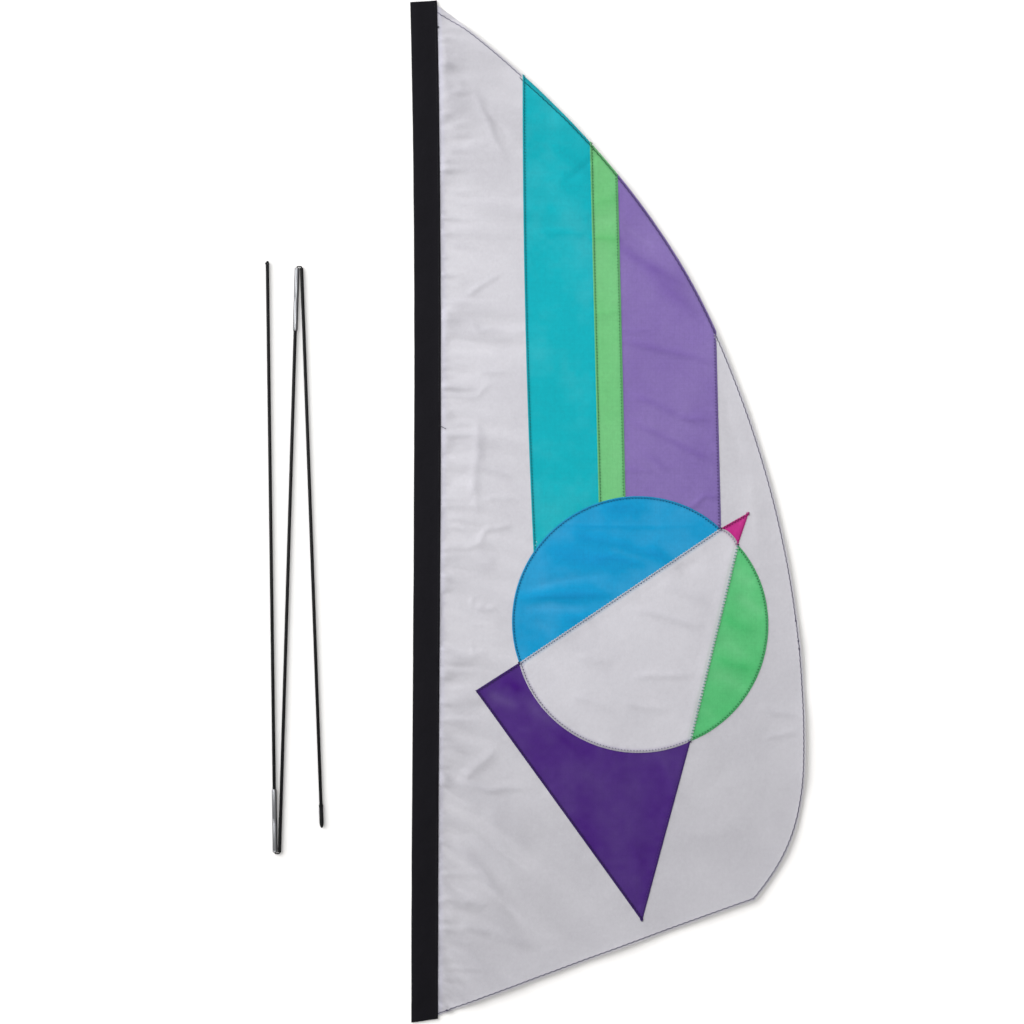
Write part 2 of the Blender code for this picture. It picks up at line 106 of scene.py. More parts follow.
LAP = 4.6  # how far the lower cloth runs on under a seam
TUCK = 3.0  # how far the white cloth runs in under the sleeve
LAYER = 0.07  # one more cloth thickness in a lap
POINT_STEP = 1.7  # spacing of points along a cut edge
ROWS = (0.7, 2.0, 3.4, 4.9, 6.6)  # rows of points inside a cut edge

# Heights that the creases, puckers and folds reach, in mm
PUCKER_HEIGHT = 1.25  # where the sleeve's seam draws the cloth up
SEAM_PUCKER_HEIGHT = 0.22
RIPPLE_HEIGHT, FINE_RIPPLE_HEIGHT = 0.9, 0.16  # along the free edge
CREASE_SCALE = 1.25
GATHER_HEIGHT = 2.1
EDGE_LIFT = 3.4
LEAST_HEIGHT = 0.35

# How the same shapes change the cloth's colour: painted shade and highlight along the creases and
# folds, and the own colour of laps, hems and strips
PAINTED_LIGHT_SHARE = 0.45  # how strongly a crease's painted shade and highlight change each of the dye's own parts
# The least share of its colour that painted shade may leave
DARKEST = 0.2
# On white cloth: how much stronger the creases' painted shade and highlight are, and the painted shade
# on the gathers' folds
WHITE_PAINTED_CREASE_SCALE, WHITE_GATHER_PAINTED_SHADE = 1.2, 0.052
LAP_SHADE = 0.06  # two layers look a little deeper
HEM_SHADE, WHITE_HEM_SHADE = 0.80, 1.02
CENTRE_SHADE = 1.065  # the disc's centre has two white layers
STRIP_SHADE = (0.02, 0.02, 0.07)  # white cloth beside the sleeve

# ------------------------------------------------------------------ the folded pole, in mm

FOLD_PITCH = 4.6
LOWER_PIVOT = np.array((-270.7, -356.9))
LOWER_LENGTH, MIDDLE_LENGTH, UPPER_LENGTH = 615.5, 612.8, 586.8
LOWER_LEAN, MIDDLE_LEAN, UPPER_LEAN = 0.75, -1.73, 2.07
AXIS_HEIGHT = 2.5
ROD_RADIUS, ROD_BORE = 1.75, 1.0
FERRULE_RADIUS, FERRULE_BORE, FERRULE_LENGTH, FERRULE_SOCKET = 2.5, 1.95, 66.0, 33.0
CAP_RADIUS, CAP_LIP, CAP_LENGTH, CAP_SOLID = 2.2, 2.35, 24.2, 6.2
CORD_RADIUS, KNOT_RADIUS, FREE_KNOT_RADIUS = 0.6, 1.5, 1.9
CORD_INTO_BORE = 3.5
BEND_RISE = 0.9  # how far the cord stands out over a fold
END_CLEAR, LOOSE = 0.5, 0.3
UPPER_ROD_END = UPPER_LENGTH - CAP_SOLID - 2 * KNOT_RADIUS - 2 * LOOSE
ROUND = 28  # sides of a turned piece

# ------------------------------------------------------------------ the thread

THREAD_SIDES = 6
THREAD_CHANGE = (0.42, 0.66)  # where across a zigzag its inner colour takes over
STITCH_TOP = 0.35  # a thread's axis off the cloth, as a share of its diameter


# ------------------------------------------------------------------ sizes and colours to change


def tint(name, description, default):
    """A colour setting for one finish."""
    return FloatVectorProperty(
        name=name, description=description, default=default, subtype="COLOR", min=0.0, max=1.0
    )


def length(name, description, default_mm):
    """A size setting, kept in metres."""
    return FloatProperty(
        name=name, description=description, default=default_mm * MM, unit="LENGTH"
    )


class FlagClothSettings(bpy.types.PropertyGroup):
    """Cloth colours and how the cloth lies."""

    black: tint("Sleeve", "Black woven sleeve", (0.0048, 0.0045, 0.0062))
    white: tint("White", "White ripstop", (0.356, 0.351, 0.379))
    teal: tint("Teal", "Teal stripe", (0.003, 0.245, 0.290))
    pale_green: tint("Pale green", "Narrow stripe", (0.100, 0.318, 0.125))
    lavender: tint("Lavender", "Lavender stripe", (0.136, 0.093, 0.255))
    blue: tint("Blue", "Blue part of the disc", (0.008, 0.192, 0.370))
    green: tint("Green", "Green part of the disc", (0.064, 0.322, 0.119))
    magenta: tint("Magenta", "Magenta tip of the wedge", (0.330, 0.015, 0.150))
    purple: tint("Purple", "Purple point of the wedge", (0.044, 0.0155, 0.124))
    thickness: length("Thickness", "One layer of cloth", 0.12)
    lie: length("Lie", "Usual height of the cloth off the ground", 1.8)
    rumple: FloatProperty(
        name="Rumple", description="Strength of the creases and puckers", default=1.0, min=0.0
    )
    ripstop: length("Ripstop squares", "Spacing of the heavier threads", 5.0)


class FlagThreadSettings(bpy.types.PropertyGroup):
    """The sewing."""

    stitch: length("Stitch length", "One full zigzag along the seam", 3.3)
    width: length("Stitch width", "Width of the zigzag", 2.5)
    hem_stitch: length("Hem stitch", "Two straight stitches of the hem", 6.2)
    thread: length("Thread", "Thread diameter", 0.70)
    inset: length("Inset", "Distance of a seam row from the cut edge", 1.35)
    hem_inset: length("Hem inset", "Distance of the hem row from the free edge", 2.2)


class FlagPoleSettings(bpy.types.PropertyGroup):
    """The folded pole's finishes."""

    rod: tint("Rods", "Black fibreglass", (0.0042, 0.0042, 0.0048))
    ferrule: tint("Ferrules", "Drawn metal", (0.20, 0.205, 0.215))
    cap: tint("Cap", "Black rubber", (0.0055, 0.0055, 0.006))
    cord: tint("Cord", "Black elastic cord", (0.007, 0.007, 0.008))


class FlagStageSettings(bpy.types.PropertyGroup):
    """Floor, lights and camera."""

    floor: tint("Floor", "Plain pale floor", (0.98, 0.974, 0.968))
    lens: FloatProperty(name="Lens", description="Lens in millimetres", default=100.0, min=1.0)
    camera_x: length("Camera X", "Camera's place along X", -25.1)
    camera_y: length("Camera Y", "Camera's place along Y", -0.4)
    camera_z: length("Camera Z", "Camera's height", 2978.4)
    key: FloatProperty(name="Key", description="Power of the soft key light, W", default=500.0)
    pool: FloatProperty(name="Pool", description="Power of the light overhead, W", default=226.0)
    sky: FloatProperty(name="Sky", description="Strength of the even light", default=0.70)


# ------------------------------------------------------------------ lines of the pattern


def knot_curve(start, end, steps=240):
    """Points from one outline knot to the next along a cubic curve."""
    x0, y0, heading0, _, reach0 = start
    x1, y1, heading1, reach1, _ = end
    a, d = np.array((x0, y0)), np.array((x1, y1))
    out, into = math.radians(heading0), math.radians(heading1)
    b = a + reach0 * np.array((math.cos(out), math.sin(out)))
    c = d - reach1 * np.array((math.cos(into), math.sin(into)))
    t = np.linspace(0, 1, steps + 1)[:, None]
    back = 1 - t
    return back**3 * a + 3 * back**2 * t * b + 3 * back * t**2 * c + t**3 * d


def arc_length(line):
    return np.concatenate([[0], np.cumsum(np.linalg.norm(np.diff(line, axis=0), axis=1))])


def read_along(values, along, at):
    """Rows of values known at some lengths along a line, read at other lengths."""
    return np.stack([np.interp(at, along, column) for column in values.T], axis=1)


def respaced(line, step=POINT_STEP):
    """The same line with its points close to one step apart."""
    line = np.asarray(line, float)
    along = arc_length(line)
    count = max(2, int(round(along[-1] / step)) + 1)
    return read_along(line, along, np.linspace(0, along[-1], count))


def left_normals(line):
    """Unit steps to the left of an open line, at each of its points."""
    ahead = np.gradient(line, axis=0)
    ahead /= np.linalg.norm(ahead, axis=1)[:, None]
    return np.stack([-ahead[:, 1], ahead[:, 0]], axis=1)


def seam_x(seam, y):
    head, foot, bow = seam
    along = (SEAM_TOP - y) / (SEAM_TOP - SEAM_FOOT)
    return head + (foot - head) * along + bow * 4 * along * (1 - along)


def seam_ends(seam, edge):
    """The seam's end on the free edge and its end on the disc."""
    past = edge[:, 0] - seam_x(seam, edge[:, 1])
    after = int(np.argmax(past > 0))
    share = -past[after - 1] / (past[after] - past[after - 1])
    head = edge[after - 1] + (edge[after] - edge[after - 1]) * share
    low, high = DISC_CENTRE[1], head[1]
    for _ in range(50):
        y = (low + high) / 2
        if np.hypot(*(np.array((seam_x(seam, y), y)) - DISC_CENTRE)) < DISC_RADIUS:
            low = y
        else:
            high = y
    return head, np.array((seam_x(seam, low), low))


def seam_run(seam, start, end):
    """Points along a stripe seam between two of its places."""
    y = np.linspace(start[1], end[1], 60)
    return np.stack([seam_x(seam, y), y], axis=1)


def disc_arc(start, end):
    """Points round the disc, anticlockwise from one place on it to another."""
    a, b = start - DISC_CENTRE, end - DISC_CENTRE
    first = math.atan2(a[1], a[0])
    sweep = (math.atan2(b[1], b[0]) - first) % math.tau
    share = np.linspace(0, 1, max(8, int(sweep * DISC_RADIUS / POINT_STEP)))
    turn = first + sweep * share
    radius = DISC_RADIUS + (np.hypot(*a) - DISC_RADIUS) * (1 - share) ** 6
    radius += (np.hypot(*b) - DISC_RADIUS) * share**6
    return DISC_CENTRE + radius[:, None] * np.stack([np.cos(turn), np.sin(turn)], axis=1)


def sleeve_middle(along):
    """The sleeve's centreline x, from its foot at 0 to its head at 1."""
    a, b, c, d = SLEEVE_MIDDLE
    back = 1 - along
    return a * back**3 + 3 * b * back**2 * along + 3 * c * back * along**2 + d * along**3


def sleeve_side(y):
    """x of the sleeve's edge on the flag's side."""
    return sleeve_middle((y - SLEEVE_FOOT) / (SLEEVE_HEAD - SLEEVE_FOOT)) + SLEEVE_HALF


def edge_part(edge, start, end):
    """The free edge between two places on it, by height."""
    inside = edge[(edge[:, 1] < start[1] - 0.2) & (edge[:, 1] > end[1] + 0.2)]
    return np.concatenate([[start], inside, [end]])


EDGE = np.concatenate(
    [knot_curve(HEAD, SHOULDER), knot_curve(SHOULDER, BELLY)[1:], knot_curve(BELLY, TAIL)[1:]]
)
FOOT = knot_curve(FOOT_TAIL, FOOT_LUFF)
LUFF_Y = np.linspace(FOOT[-1][1], EDGE[0][1], 500)
LUFF = np.stack([sleeve_side(LUFF_Y) + LOOSE, LUFF_Y], axis=1)
WHITE_HEAD, WHITE_DISC = seam_ends(SEAM_WHITE_TEAL, EDGE)
TEAL_HEAD, TEAL_DISC = seam_ends(SEAM_TEAL_GREEN, EDGE)
GREEN_HEAD, GREEN_DISC = seam_ends(SEAM_GREEN_LAVENDER, EDGE)
OUTER_HEAD, _ = seam_ends(SEAM_LAVENDER_WHITE, EDGE)
WHITE_TEAL = seam_run(SEAM_WHITE_TEAL, WHITE_HEAD, WHITE_DISC)
TEAL_GREEN = seam_run(SEAM_TEAL_GREEN, TEAL_HEAD, TEAL_DISC)
GREEN_LAVENDER = seam_run(SEAM_GREEN_LAVENDER, GREEN_HEAD, GREEN_DISC)
OUTER_SEAM = seam_run(SEAM_LAVENDER_WHITE, OUTER_HEAD, DISC_TOP)
OUTER_SEAM[-1] = DISC_TOP

# Each panel's cut: its edges in order round it. An edge is its line and how it is sewn:
# "over" lies on its neighbour, "under" runs on beneath it, "free" is hemmed, "luff" is under
# the sleeve.
PANELS = {
    "white_ground": [
        (edge_part(EDGE, EDGE[0], WHITE_HEAD), "free"),
        (WHITE_TEAL, "under"),
        (disc_arc(WHITE_DISC, DISC_LEFT), "under"),
        ((DISC_LEFT, WEDGE_LEFT), "under"),
        ((WEDGE_LEFT, WEDGE_POINT), "under"),
        ((WEDGE_POINT, DISC_LOW), "under"),
        (disc_arc(DISC_LOW, DISC_SIDE), "under"),
        ((DISC_SIDE, WEDGE_TIP), "under"),
        ((WEDGE_TIP, DISC_TOP), "under"),
        (OUTER_SEAM[::-1], "under"),
        (edge_part(EDGE, OUTER_HEAD, EDGE[-1]), "free"),
        (FOOT, "free"),
        (LUFF, "luff"),
    ],
    "teal_stripe": [
        (edge_part(EDGE, WHITE_HEAD, TEAL_HEAD), "free"),
        (TEAL_GREEN, "under"),
        (disc_arc(TEAL_DISC, WHITE_DISC), "under"),
        (seam_run(SEAM_WHITE_TEAL, WHITE_DISC, WHITE_HEAD), "over"),
    ],
    "green_stripe": [
        (edge_part(EDGE, TEAL_HEAD, GREEN_HEAD), "free"),
        (GREEN_LAVENDER, "over"),
        (disc_arc(GREEN_DISC, TEAL_DISC), "under"),
        (seam_run(SEAM_TEAL_GREEN, TEAL_DISC, TEAL_HEAD), "over"),
    ],
    "lavender_stripe": [
        (edge_part(EDGE, GREEN_HEAD, OUTER_HEAD), "free"),
        (OUTER_SEAM, "over"),
        (disc_arc(DISC_TOP, GREEN_DISC), "under"),
        (seam_run(SEAM_GREEN_LAVENDER, GREEN_DISC, GREEN_HEAD), "under"),
    ],
    "blue_segment": [
        (disc_arc(DISC_TOP, DISC_LEFT), "over"),
        ((DISC_LEFT, DISC_TOP), "under"),
    ],
    "green_segment": [
        (disc_arc(DISC_LOW, DISC_SIDE), "over"),
        ((DISC_SIDE, DISC_LOW), "under"),
    ],
    "white_centre": [
        (disc_arc(DISC_LEFT, DISC_LOW), "over"),
        ((DISC_LOW, DISC_SIDE), "over"),
        (disc_arc(DISC_SIDE, DISC_TOP), "over"),
        ((DISC_TOP, DISC_LEFT), "over"),
    ],
    "magenta_tip": [
        (disc_arc(DISC_SIDE, DISC_TOP), "under"),
        ((DISC_TOP, WEDGE_TIP), "over"),
        ((WEDGE_TIP, DISC_SIDE), "over"),
    ],
    "purple_point": [
        (disc_arc(DISC_LEFT, DISC_LOW), "under"),
        ((DISC_LOW, WEDGE_POINT), "over"),
        ((WEDGE_POINT, WEDGE_LEFT), "over"),
        ((WEDGE_LEFT, DISC_LEFT), "over"),
    ],
}
# How many layers a panel's sewn edge stands on
RANK = {
    "white_ground": 0,
    "teal_stripe": 1,
    "green_stripe": 2,
    "lavender_stripe": 1,
    "blue_segment": 3,
    "green_segment": 3,
    "white_centre": 4,
    "magenta_tip": 3,
    "purple_point": 3,
}


# ------------------------------------------------------------------ how the cloth lies


def lattice(i, j, seed):
    """A fixed number from -1 to 1 for each whole-number place."""
    h = (i * 374761393 + j * 668265263 + seed * 362437) & 0xFFFFFFFF
    h = ((h ^ (h >> 13)) * 1274126177) & 0xFFFFFFFF
    return ((h ^ (h >> 16)) & 0xFFFF) / 32767.5 - 1


def waves(x, y, seed):
    """Smooth random swells, about one unit across, from -1 to 1."""
    i, j = np.floor(x).astype(np.int64), np.floor(y).astype(np.int64)
    u, v = x - i, y - j
    u, v = (t * t * t * (t * (6 * t - 15) + 10) for t in (u, v))
    low = lattice(i, j, seed) * (1 - u) + lattice(i + 1, j, seed) * u
    high = lattice(i, j + 1, seed) * (1 - u) + lattice(i + 1, j + 1, seed) * u
    return low * (1 - v) + high * v


def tree_of(points):
    tree = KDTree(len(points))
    for i, (x, y) in enumerate(points):
        tree.insert((x, y, 0), i)
    tree.balance()
    return tree


def nearest(tree, points):
    """For each point, the index of the closest one in the tree and its distance."""
    found = [tree.find((x, y, 0)) for x, y in points]
    return np.array([f[1] for f in found]), np.array([f[2] for f in found])


def eased(value, low, high):
    """0 below low, 1 above high, and smooth between."""
    t = np.clip((value - low) / (high - low), 0, 1)
    return t * t * (3 - 2 * t)


SEAM_LINES = [
    WHITE_TEAL,
    TEAL_GREEN,
    GREEN_LAVENDER,
    OUTER_SEAM,
    disc_arc(DISC_LEFT, DISC_LOW),
    disc_arc(DISC_LOW, DISC_SIDE),
    disc_arc(DISC_SIDE, DISC_TOP),
    disc_arc(DISC_TOP, DISC_LEFT),
    (WEDGE_LEFT, WEDGE_POINT),
    (WEDGE_POINT, DISC_LOW),
    (DISC_LOW, DISC_SIDE),
    (DISC_SIDE, WEDGE_TIP),
    (WEDGE_TIP, DISC_TOP),
    (DISC_TOP, DISC_LEFT),
    (DISC_LEFT, WEDGE_LEFT),
]
SEAM_POINTS = [respaced(line, 1.5) for line in SEAM_LINES]
SEAM_ALONG = np.concatenate([arc_length(p) + 1000 * i for i, p in enumerate(SEAM_POINTS)])
SEAM_TREE = tree_of(np.concatenate(SEAM_POINTS))
FREE_POINTS = np.concatenate([respaced(EDGE, 1.5), respaced(FOOT, 1.5)])
FREE_ALONG = np.arange(len(FREE_POINTS)) * 1.5
FREE_TREE = tree_of(FREE_POINTS)

# Creases: from x, y to x, y in mm, half width, height in mm, and the highlight painted along them,
# negative for painted shade
CREASES = (
    (-99, 477, -76, 443, 5.5, 0.7, -0.035),
    (-63, 436, -36, 380, 4.0, 1.2, -0.05),
    (-58, 424, -30, 396, 3.0, -0.8, 0.02),
    (-72, 385, -50, 384, 3.0, 0.6, -0.02),
    (-72, 227, -36, 248, 3.2, 1.0, -0.05),
    (-70, 194, -38, 187, 3.0, 0.9, -0.04),
    (-56, 146, -32, 146, 3.0, 0.6, -0.02),
    (-71, 117, -48, 131, 3.0, 0.6, -0.02),
    (-62, 94, -58, 60, 5.5, 0.9, -0.05),
    (-60, 68, -67, 20, 5.0, 0.8, -0.04),
    (-67, 30, -60, 0, 4.5, 0.7, -0.01),
    (-61, 47, -26, 37, 3.5, 0.8, -0.03),
    (-55, 12, -24, 15, 3.0, 0.6, -0.005),
    (-70, -40, -48, -18, 3.5, 0.9, -0.03),
    (-50, -19, -26, -15, 3.0, 0.8, -0.03),
    (-60, -35, -45, -55, 8.0, 0.7, -0.05),
    (-70, -92, -58, -104, 3.0, 0.8, -0.03),
    (-60, -103, -40, -102, 3.0, 0.8, -0.03),
    (-70, -142, -52, -151, 3.0, 0.6, -0.02),
    (-77, -280, -44, -250, 6.0, 1.2, -0.04),
    (-70, -287, -16, -292, 3.5, 1.1, -0.04),
    (-50, -318, -10, -350, 9.0, 0.9, -0.035),
    (-79, -349, -31, -405, 5.0, 1.4, -0.05),
    (-57, -338, -8, -376, 3.5, -0.9, 0.02),
    (-78, -408, -54, -411, 3.0, 0.7, -0.03),
    (-76, -431, -50, -440, 4.0, 0.8, -0.04),
    (-50, -440, -6, -454, 6.0, 0.7, -0.03),
    (-96, -300, -60, -330, 4.0, -1.0, 0.015),
    (16, 382, 54, 355, 5.0, 0.8, -0.03),
    (30, 345, 62, 372, 4.0, -0.6, -0.03),
    (5, 292, 58, 292, 3.5, 0.6, -0.015),
    (10, 440, 22, 400, 9.0, -0.5, 0.02),
    (28, 330, 60, 240, 14.0, 0.5, 0.012),
    (58, 306, 86, 304, 6.0, -0.6, 0.02),
    (60, 326, 88, 326, 7.0, 0.5, -0.03),
    (58, 288, 88, 284, 4.0, 0.7, -0.05),
    (60, 210, 88, 209, 2.0, 0.4, -0.015),
    (84, 280, 150, 239, 5.0, 1.2, -0.045),
    (92, 299, 122, 276, 4.5, -0.9, 0.02),
    (118, 250, 168, 205, 7.0, 0.9, -0.035),
    (90, 189, 118, 189, 1.6, 0.5, -0.015),
    (92, 178, 176, 159, 3.2, 1.0, -0.03),
    (104, 121, 153, 98, 3.2, 1.1, -0.03),
    (150, 97, 178, 96, 3.2, 0.9, -0.03),
    (104, 92, 182, 52, 2.8, 1.2, -0.03),
    (115, 60, 138, 46, 2.6, 0.8, -0.02),
    (94, 47, 122, 42, 2.6, 0.7, -0.02),
    (160, 4, 176, 18, 2.6, 0.8, -0.02),
    (176, 18, 190, 14, 2.6, 0.7, -0.02),
    (26, -15.5, 150, -15.5, 1.3, 0.45, -0.03),
    (70, 5, 116, 4, 8.0, 0.7, -0.035),
    (36, -22, 90, -33, 5.5, 0.9, -0.035),
    (84, -32, 136, -47, 5.5, 0.9, -0.045),
    (62, -46, 112, -56, 5.0, 0.7, -0.060),
    (120, -38, 150, -62, 7.0, 0.7, -0.03),
    (12, -42, 95, -60, 8.0, 0.5, -0.035),
    (-10, -79, 70, -68, 5.0, -0.8, 0.022),
    (-12, -89, 76, -88, 5.0, 1.1, -0.055),
    (-8, -100, 52, -104, 6.0, -0.8, 0.035),
    (0, -112, 16, -128, 6.0, -0.5, 0.02),
    (30, -112, 60, -108, 5.0, 0.5, -0.03),
    (134, -73, 180, -98, 5.0, 0.9, -0.03),
    (106, -102, 168, -120, 3.8, 0.9, -0.035),
    (46, -151, 76, -158, 5.0, 0.7, -0.02),
    (104, -173, 160, -173, 3.4, 0.8, -0.03),
    (94, -200, 134, -207, 4.0, 0.7, -0.025),
    (40, -192, 76, -205, 4.5, 0.7, -0.02),
    (150, -60, 172, -55, 5.0, -0.5, 0.01),
    (206, -60, 226, -80, 8.0, -0.6, 0.05),
    (212, -88, 238, -108, 6.0, -0.7, 0.045),
    (192, -134, 222, -152, 7.0, -0.7, 0.04),
    (184, -168, 222, -188, 7.0, -0.8, 0.045),
    (196, -112, 226, -124, 7.0, 0.7, -0.04),
    (188, -152, 226, -166, 4.5, 0.6, -0.035),
    (168, -205, 190, -215, 6.0, -0.4, 0.03),
    (-50, -192, -20, -204, 6.0, -0.6, 0.04),
    (-36, -178, -16, -184, 6.0, 0.5, -0.02),
    (-14, -196, 20, -228, 7.0, -0.5, 0.025),
    (0, -212, 42, -252, 5.0, 0.6, -0.015),
    (48, -268, 96, -318, 9.0, -0.6, 0.008),
    (96, -262, 120, -330, 11.0, -0.5, 0.006),
    (100, -340, 112, -380, 8.0, 0.5, -0.012),
    (130, -250, 150, -300, 6.0, 0.5, 0.012),
    (236, -205, 270, -214, 4.0, 0.8, -0.03),
    (240, -236, 272, -232, 3.5, 0.6, -0.02),
    (226, 40, 232, -40, 9.0, 0.6, 0.015),
    (196, 120, 214, 60, 7.0, -0.5, 0.015),
    (150, -345, 215, -330, 14.0, 0.6, -0.015),
    (160, -300, 205, -270, 12.0, -0.5, 0.012),
    (20, -480, 120, -455, 8.0, 0.6, -0.02),
    (-92, -450, -62, -505, 24.0, 0.3, -0.034),
    (-45, -370, 20, -440, 22.0, 0.3, 0.026),
    (-78, 45, -50, -35, 18.0, 0.2, 0.026),
    (150, -260, 220, -330, 26.0, 0.3, 0.016),
)


def crease(points, x0, y0, x1, y1, width):
    """How far into a soft-sided fold each point is, 0 to 1. It fades out towards its ends."""
    a, b = np.array((x0, y0)), np.array((x1, y1))
    along = b - a
    long = np.hypot(*along)
    t = (points - a) @ along / long**2
    wander = 2.4 * waves(t * 2.5, np.full(len(t), x0 * 0.37), 5)
    side = (points - a) @ np.array((-along[1], along[0])) / long + wander
    fade = eased(t, -0.2, 0.25) * (1 - eased(t, 0.7, 1.25))
    return fade * np.exp(-np.abs(side / width) ** 1.6)


def gathers(points):
    """Folds that run out from the sleeve's seam, about -1 to 1: close and short at the seam,
    wider and longer further out, and slanting down towards the foot."""
    x, y = points[:, 0], points[:, 1]
    off = np.maximum(0, x - sleeve_side(y))
    fall = 0.15 + 0.55 * eased(-y, 60.0, 420.0)
    v = y + fall * off + 7.0 * waves(x / 50, y / 60, 41)
    close = waves(off / 24, v / 5.5, 42) * np.exp(-off / 17)
    long = waves(off / 62, v / 13, 43) * np.exp(-off / 70)
    broad = waves(off / 110, v / 30, 44) * np.exp(-((off / 130) ** 2))
    return 1.2 * close + 1.1 * long + 0.7 * broad


def paler_by(points):
    """Painted shade and highlight along the creases, with a faint random tone, about -0.1 to 0.1."""
    points = np.asarray(points, float)
    x, y = points[:, 0], points[:, 1]
    # Painted shade and highlight along each crease
    tone = sum(crease(points, *c[:5]) * c[6] for c in CREASES)
    tone = tone + 0.012 * waves(x / 46, y / 58, 31) + 0.009 * waves(x / 17, y / 21, 32)
    tone += 0.006 * waves(x / 7.5, y / 6.0, 33)
    return tone


def how_it_lies(points):
    """Height of the cloth's top off the ground, in mm, at each point of the flat pattern."""
    cloth = bpy.context.scene.flag_cloth
    points = np.asarray(points, float)
    x, y = points[:, 0], points[:, 1]
    from_sleeve = x - sleeve_side(y)
    swell = 0.55 * waves(x / 85, y / 85, 1) + 0.35 * waves(x / 38, y / 44, 2)
    # Puckers where the sleeve's seam draws the cloth up
    reach = 16 + 12 * waves(y / 9.0, x * 0, 3)
    pucker = waves(x / 60 + 0.05 * y, y / 5.2, 4) * np.exp(-np.abs(from_sleeve) / reach)
    # Puckers across each stitched seam
    index, off = nearest(SEAM_TREE, points)
    along = SEAM_ALONG[index]
    seam = waves(along / 4.2, off / 30, 6) * np.exp(-off / 6.0)
    seam += 0.8 * waves(along / 13.0, off / 40, 7) * np.exp(-off / 18.0)
    # The free edge lifts and ripples
    index, off = nearest(FREE_TREE, points)
    lift = np.exp(-off / 26.0)
    ripple = waves(FREE_ALONG[index] / 42, off / 60, 8) * lift
    fine = waves(FREE_ALONG[index] / 6.0, off / 30, 9) * np.exp(-off / 5.0)
    lines = sum(crease(points, *c[:5]) * c[5] for c in CREASES)
    z = swell + PUCKER_HEIGHT * pucker + SEAM_PUCKER_HEIGHT * seam
    z = z + RIPPLE_HEIGHT * ripple + FINE_RIPPLE_HEIGHT * fine + CREASE_SCALE * lines
    z += GATHER_HEIGHT * gathers(points)
    z *= cloth.rumple * eased(from_sleeve, -2.0, 9.0)
    edge_lift = EDGE_LIFT * lift * eased(from_sleeve, 4.0, 60.0)
    return np.maximum(LEAST_HEIGHT, cloth.lie / MM + z + edge_lift)


def hem_rise(off):
    """Extra height of the folded hem, by the distance from the free edge in mm."""
    return 0.16 * (1 - eased(off, 3.0, 4.2)) - 0.10 * (1 - eased(off, 0.0, 0.8))


# ------------------------------------------------------------------ cutting a panel


def grown_outline(edges):
    """The closed cut of a panel, anticlockwise: each edge moved out by its margin."""
    margins = {"under": LAP, "over": 0.0, "free": 0.0, "luff": TUCK + LOOSE}
    points, edge_of = [], []
    for i, (line, _) in enumerate(edges):
        line = respaced(line)
        points.append(line[:-1])
        edge_of += [i] * (len(line) - 1)
    points = np.concatenate(points)
    edge_of = np.array(edge_of)
    after = np.roll(points, -1, axis=0) - points
    area = (points[:, 0] * np.roll(points, -1, axis=0)[:, 1]).sum()
    area -= (points[:, 1] * np.roll(points, -1, axis=0)[:, 0]).sum()
    out = np.stack([after[:, 1], -after[:, 0]], axis=1)
    out *= math.copysign(1, area) / np.linalg.norm(out, axis=1)[:, None]
    margin = np.array([margins[edges[i][1]] for i in edge_of])
    before, margin_before = np.roll(out, 1, axis=0), np.roll(margin, 1)
    cross = before[:, 0] * out[:, 1] - before[:, 1] * out[:, 0]
    bent = np.abs(cross) > 0.12
    safe = np.where(bent, cross, 1.0)
    met = np.stack(
        [
            (margin_before * out[:, 1] - margin * before[:, 1]) / safe,
            (margin * before[:, 0] - margin_before * out[:, 0]) / safe,
        ],
        axis=1,
    )
    plain = (before + out) / 2 * ((margin + margin_before) / 2)[:, None]
    grown = points + np.where(bent[:, None], met, plain)
    # At an inward corner the two margins cross, so what lies past their meeting goes
    sewn = [respaced(line, 0.5) for line, way in edges if way == "under"]
    if sewn:
        _, off = nearest(tree_of(np.concatenate(sewn)), grown)
        corner = np.roll(edge_of, 1) != edge_of
        grown = grown[corner | (margin < LAP) | (off > LAP * 0.96)]
    return grown if area > 0 else grown[::-1]


def even_field(outline, step):
    """Points in even triangles all over the inside of a closed outline."""
    ends = np.roll(outline, -1, axis=0)
    rows = []
    low, high = outline[:, 1].min(), outline[:, 1].max()
    rise = step * math.sqrt(3) / 2
    for k in range(int(low / rise) - 1, int(high / rise) + 2):
        y = k * rise + 0.0137
        crossed = (outline[:, 1] > y) != (ends[:, 1] > y)
        a, b = outline[crossed], ends[crossed]
        xs = np.sort(a[:, 0] + (b[:, 0] - a[:, 0]) * (y - a[:, 1]) / (b[:, 1] - a[:, 1]))
        for start, end in zip(xs[::2], xs[1::2]):
            first = math.ceil(start / step - (k % 2) / 2)
            x = (np.arange(first, int(end / step) + 1) + (k % 2) / 2) * step
            x = x[(x > start) & (x < end)]
            rows.append(np.stack([x, np.full(len(x), y)], axis=1))
    return np.concatenate(rows)


def filled(outline, step):
    """Fine triangles over a closed outline: its own points, rows just inside it, a field."""
    tree = tree_of(outline)
    ends = np.roll(outline, -1, axis=0) - np.roll(outline, 1, axis=0)
    inward = np.stack([-ends[:, 1], ends[:, 0]], axis=1)
    inward /= np.linalg.norm(inward, axis=1)[:, None]
    inner = []
    for row in ROWS:
        moved = outline + inward * row
        _, off = nearest(tree, moved)
        inner.append(moved[off > row * 0.93])
    field = even_field(outline, step)
    _, off = nearest(tree, field)
    inner.append(field[off > ROWS[-1] + step * 0.55])
    points = np.concatenate([outline, *inner])
    loop = list(range(len(outline)))
    corners, _, faces, _, _, inside = delaunay_2d_cdt(
        [Vector(p) for p in points], [], [loop], 1, 1e-5, True
    )
    kept = [tuple(face) for face, within in zip(faces, inside) if within]
    return np.array([tuple(c) for c in corners]), kept


